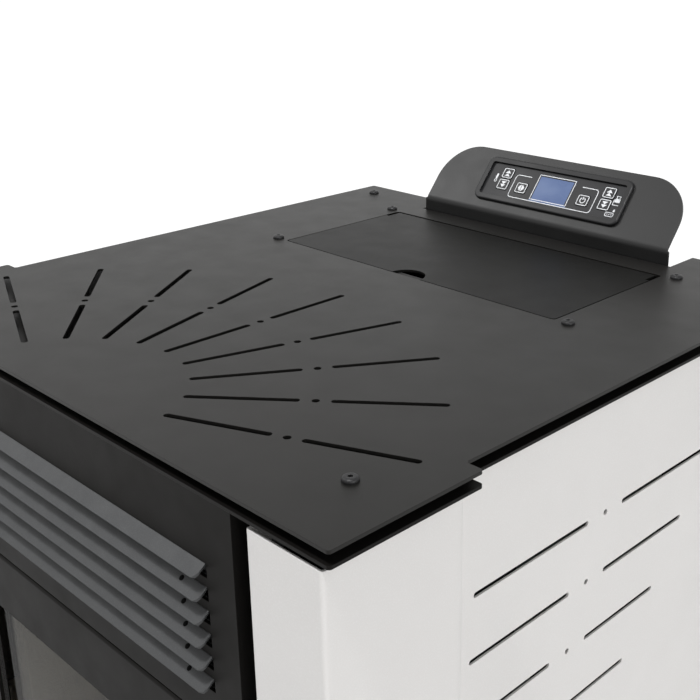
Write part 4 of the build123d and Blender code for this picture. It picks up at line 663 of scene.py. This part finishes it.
def thermometer(mesh, x, low):
    tubeMiddle, tubeWide, tubeHigh, tubeCorner = 5.7, 1.9, 5.6, 0.9
    bulbMiddle, bulbRadius = 1.4, 1.2
    slabOnFace(mesh, roundedBox(x, low + tubeMiddle, tubeWide, tubeHigh, tubeCorner, 3), filmTop)
    bulb = circlePoints(x, low + bulbMiddle, bulbRadius, steps=14)
    ribbonOnFace(mesh, bulb, filmTop, True, filmPrint["thinLine"])


def pelletSack(mesh, x, low):
    # outline of a sack of pellets with its tied neck, filled above its window
    sack = [(-3.3, 0), (3.3, 0), (3.3, 4.2), (1.3, 6.6),
            (1.9, 8.4), (-1.9, 8.4), (-1.3, 6.6), (-3.3, 4.2)]
    filled = [(-2.6, 2.6), (2.6, 2.6), (2.6, 4.2), (1.0, 6.2), (-1.0, 6.2), (-2.6, 4.2)]
    ribbonOnFace(mesh, [(x + a, low + b) for a, b in sack], filmTop, True, filmPrint["thinLine"])
    slabOnFace(mesh, [(x + a, low + b) for a, b in filled], filmTop)


def flameSign(mesh, x, y, size):
    flame = [(0, -1), (0.55, -0.8), (0.75, -0.2), (0.45, 0.3), (0.5, 0.75),
             (0.05, 0.45), (-0.1, 1.1), (-0.35, 0.4), (-0.7, -0.1), (-0.6, -0.7)]
    slabOnFace(mesh, [(x + a * size, y + b * size) for a, b in flame], filmTop)


film = filmLines()
thermometer(film, filmPrint["thermometerX"], filmPrint["thermometerLow"])
pelletSack(film, filmPrint["sackX"], filmPrint["sackLow"])
trayX, trayY = filmPrint["trayX"], filmPrint["trayY"]
trayWide, trayHigh = filmPrint["trayWide"], filmPrint["trayHigh"]
tray = roundedBox(trayX, trayY, trayWide, trayHigh, filmPrint["trayCorner"])
ribbonOnFace(film, tray, filmTop, True, filmPrint["thinLine"])
for seat in (-1, 0, 1):
    pelletX = trayX + seat * filmPrint["pelletStep"]
    slabOnFace(film, circlePoints(pelletX, trayY, filmPrint["pelletRadius"], steps=8), filmTop)
flameX, flameY = trayX + filmPrint["flameAside"], trayY + filmPrint["flameAbove"]
flameSign(film, flameX, flameY, filmPrint["flameSize"])
finishPiece("keypad_lines", film, printWhite, "stove")

# dark border between the printed frame and the lit cell
border = bmesh.new()
inset = (faceLook["lineWidth"] / mm + filmPrint["border"]) / 2
left, right = lcdX - halfWide + inset, lcdX + halfWide - inset
high, low = lcdY + halfHigh - inset, lcdY - halfHigh + filmPrint["screenFoot"]
borderLine = [(left, low), (left, high), (right, high), (right, low)]
ribbonOnFace(border, borderLine, filmTop, width=filmPrint["border"] * mm)
finishPiece("screen_border", border, keypadFilm, "stove")
print("keypad printed")


def revolve(mesh, profile, centre, axis, sides=20):
    # a turned piece: profile is (radius, along) pairs in mm
    axis = Vector(axis).normalized()
    sideA = axis.orthogonal().normalized()
    sideB = axis.cross(sideA)
    turns = [2 * math.pi * i / sides for i in range(sides)]
    spokes = [sideA * math.cos(t) + sideB * math.sin(t) for t in turns]
    rings = []
    for radius, along in profile:
        middle = Vector(centre) + axis * along * mm
        if radius == 0:
            rings.append([mesh.verts.new(middle)])
        else:
            rings.append([mesh.verts.new(middle + spoke * radius * mm) for spoke in spokes])
    for lower, upper in zip(rings, rings[1:]):
        for i in range(sides):
            j = (i + 1) % sides
            if len(lower) == 1:
                mesh.faces.new((lower[0], upper[i], upper[j]))
            elif len(upper) == 1:
                mesh.faces.new((lower[i], lower[j], upper[0]))
            else:
                mesh.faces.new((lower[i], lower[j], upper[j], upper[i]))


# small rivets at the roots of the second to sixth flaps, square to their slope, near-black with
# almost no sheen: painted shade that makes them read as dark holes
rivetLook = {
    "x": 0.1352, "root": 0.8774, "pitch": 0.0141, "count": 5,
    "radius": 1.6, "height": 0.3, "sunk": 0.1, "down": 2.8, "slope": 38.2,
}
# painted shade: a colour and sheen darker than any paint here, so the caps read as dark holes
rivetShadeBlack = powderCoat("rivetShadeBlack", {
    **frontBlack, "colour": tint(9, 9, 9), "haze": tint(12, 12, 12), "specular": 0.03, "wear": 0.05,
})
rivets = bmesh.new()
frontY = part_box("front_frame")[0].y
slope, down = math.radians(rivetLook["slope"]), rivetLook["down"] * mm
r, h = rivetLook["radius"], rivetLook["height"]
rivetShape = [(r, -rivetLook["sunk"]), (r, h * 0.3), (r * 0.8, h * 0.75), (r * 0.4, h), (0, h)]
for row in range(rivetLook["count"]):
    z = rivetLook["root"] - row * rivetLook["pitch"] - down * math.sin(slope)
    for side in (-1, 1):
        spot = (side * rivetLook["x"], frontY - down * math.cos(slope), z)
        revolve(rivets, rivetShape, spot, (0, -math.sin(slope), math.cos(slope)), 16)
finishPiece("louvre_rivets", rivets, rivetShadeBlack, "stove")

# self-tapping screws round the rear panel, each with a cross on its head
rearLook = {
    "radius": 4.2, "height": 2.0, "inset": 0.009, "rows": 5, "fromEnd": 0.04,
    "slotWide": 1.0, "slotLong": 4.4, "slotInto": 0.2, "slotOut": 0.1,
}
rearLow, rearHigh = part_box("rear_panel")


def slotBar(mesh, x, y0, y1, z, wide, tall):
    # a small bar on the screw head, which reads as one stroke of its cross
    w, t = wide / 2, tall / 2
    plan = [(-w, -t), (w, -t), (w, t), (-w, t)]
    near, far = ([mesh.verts.new((x + a * mm, y, z + c * mm)) for a, c in plan] for y in (y0, y1))
    mesh.faces.new(near)
    mesh.faces.new(list(reversed(far)))
    for i in range(4):
        j = (i + 1) % 4
        mesh.faces.new((near[i], far[i], far[j], near[j]))


def crossHead(mesh, x, z):
    r, h = rearLook["radius"], rearLook["height"]
    head = [(r, 0), (r, h * 0.35), (r * 0.82, h * 0.8), (r * 0.45, h), (0, h)]
    revolve(mesh, head, (x, rearHigh.y, z), (0, 1, 0), 20)
    y0 = rearHigh.y + (h - rearLook["slotInto"]) * mm
    y1 = rearHigh.y + (h + rearLook["slotOut"]) * mm
    long, narrow = rearLook["slotLong"], rearLook["slotWide"]
    for wide, tall in ((long, narrow), (narrow, long)):
        slotBar(mesh, x, y0, y1, z, wide, tall)


rearScrews = bmesh.new()
rearSpan = rearHigh.z - rearLow.z - 2 * rearLook["fromEnd"]
for side in (-1, 1):
    for row in range(rearLook["rows"]):
        z = rearLow.z + rearLook["fromEnd"] + row * rearSpan / (rearLook["rows"] - 1)
        crossHead(rearScrews, side * (rearHigh.x - rearLook["inset"]), z)
finishPiece("rear_screws", rearScrews, springSteel, "stove")
print("fixings done")

# floor, backdrop and soft light
studio = {
    "ambient": 0.37,
    "floorSize": 30, "floorDrop": 0.0005,
    "floorTone": (0.9, 0.9, 0.9), "floorRough": 0.9, "floorSpecular": 0.1,
    "floorShine": 1.1, "floorGlow": 0.6, "glowFrom": 0.6, "glowFull": 1.9,
    "key": {"power": 46, "size": 0.22, "from": (0.35, -1.08, 3.3)},
    "fill": {"power": 33, "size": 2.6, "from": (2.8, -0.4, 1.6)},
    "rim": {"power": 15, "size": 0.7, "from": (-2.0, -1.0, 3.0)},
    "aim": (0, 0, 0.7),
}


def seenDirectly(tree):
    # true for the eye, and for reflections and glass, which show the same backdrop
    path = tree.nodes.new("ShaderNodeLightPath")
    seen = calc(tree, "MAXIMUM", path.outputs["Is Camera Ray"], path.outputs["Is Glossy Ray"])
    return calc(tree, "MAXIMUM", seen, path.outputs["Is Transmission Ray"])


world = bpy.data.worlds.new("studioAir")
bpy.context.scene.world = world
world.use_nodes = True
air = world.node_tree
background = air.nodes["Background"]
background.inputs["Color"].default_value = (1, 1, 1, 1)
skyLight = between(air, seenDirectly(air), studio["ambient"], 1.0, 0, 1)
feed(air, background.inputs["Strength"], skyLight)

floorMesh = bmesh.new()
bmesh.ops.create_grid(floorMesh, x_segments=1, y_segments=1, size=studio["floorSize"])
floorData = bpy.data.meshes.new("floor")
floorMesh.to_mesh(floorData)
floorMesh.free()
floor = bpy.data.objects.new("floor", floorData)
bpy.context.scene.collection.objects.link(floor)
floor.location.z = -studio["floorDrop"]
floorPaint, floorTree, floorShader = newFinish("floorPaint")
floorShader.inputs["Base Color"].default_value = (*studio["floorTone"], 1)
floorShader.inputs["Roughness"].default_value = studio["floorRough"]
floorShader.inputs["Specular IOR Level"].default_value = studio["floorSpecular"]
glow = floorTree.nodes.new("ShaderNodeEmission")
glow.inputs["Strength"].default_value = studio["floorShine"]

# near the stove the floor keeps its shadow, further off it fades into the white backdrop
away = floorTree.nodes.new("ShaderNodeVectorMath")
away.operation = "LENGTH"
floorTree.links.new(objectPlace(floorTree), away.inputs[0])
distance = away.outputs["Value"]
glowFrom, glowFull = studio["glowFrom"], studio["glowFull"]
fade = between(floorTree, distance, studio["floorGlow"], 1.0, glowFrom, glowFull)
share = floorTree.nodes.new("ShaderNodeMixShader")
feed(floorTree, share.inputs[0], calc(floorTree, "MULTIPLY", seenDirectly(floorTree), fade))
floorTree.links.new(floorShader.outputs["BSDF"], share.inputs[1])
floorTree.links.new(glow.outputs["Emission"], share.inputs[2])
floorTree.links.new(share.outputs["Shader"], floorTree.nodes["Material Output"].inputs["Surface"])
floorData.materials.append(floorPaint)


def softLight(name, look):
    lamp = bpy.data.lights.new(name, "AREA")
    lamp.energy = look["power"]
    lamp.shape = "DISK"
    lamp.size = look["size"]
    holder = bpy.data.objects.new(name, lamp)
    bpy.context.scene.collection.objects.link(holder)
    holder.location = look["from"]
    toStove = Vector(studio["aim"]) - Vector(look["from"])
    holder.rotation_euler = toStove.to_track_quat("-Z", "Y").to_euler()
    holder.visible_camera = False


softLight("keyLight", studio["key"])
softLight("fillLight", studio["fill"])
softLight("rimLight", studio["rim"])

# camera, from the photograph's straight edges
shot = {
    "from": (0.5635, -0.519, 1.1978), "yaw": 43.83, "pitch": 19.15, "roll": -0.06,
    "lens": 56.08, "sensor": 36, "shift": (-0.10, -0.07), "clip": (0.02, 100),
}
yaw, pitch, roll = (math.radians(shot[k]) for k in ("yaw", "pitch", "roll"))
level = Vector((math.cos(yaw), math.sin(yaw), 0))
forward = Vector((-math.sin(yaw), math.cos(yaw), 0))
ahead = forward * math.cos(pitch) - Vector((0, 0, math.sin(pitch)))
upright = level.cross(ahead)
rightHand = level * math.cos(roll) + upright * math.sin(roll)
upHand = upright * math.cos(roll) - level * math.sin(roll)
cameraData = bpy.data.cameras.new("camera")
cameraData.lens = shot["lens"]
cameraData.sensor_width = shot["sensor"]
cameraData.shift_x, cameraData.shift_y = shot["shift"]
cameraData.clip_start, cameraData.clip_end = shot["clip"]
camera = bpy.data.objects.new("camera", cameraData)
bpy.context.scene.collection.objects.link(camera)
turn = Matrix((rightHand, upHand, -ahead)).transposed()
camera.matrix_world = Matrix.Translation(Vector(shot["from"])) @ turn.to_4x4()
bpy.context.scene.camera = camera
bpy.context.scene.view_settings.view_transform = "Standard"
print("light and camera set")
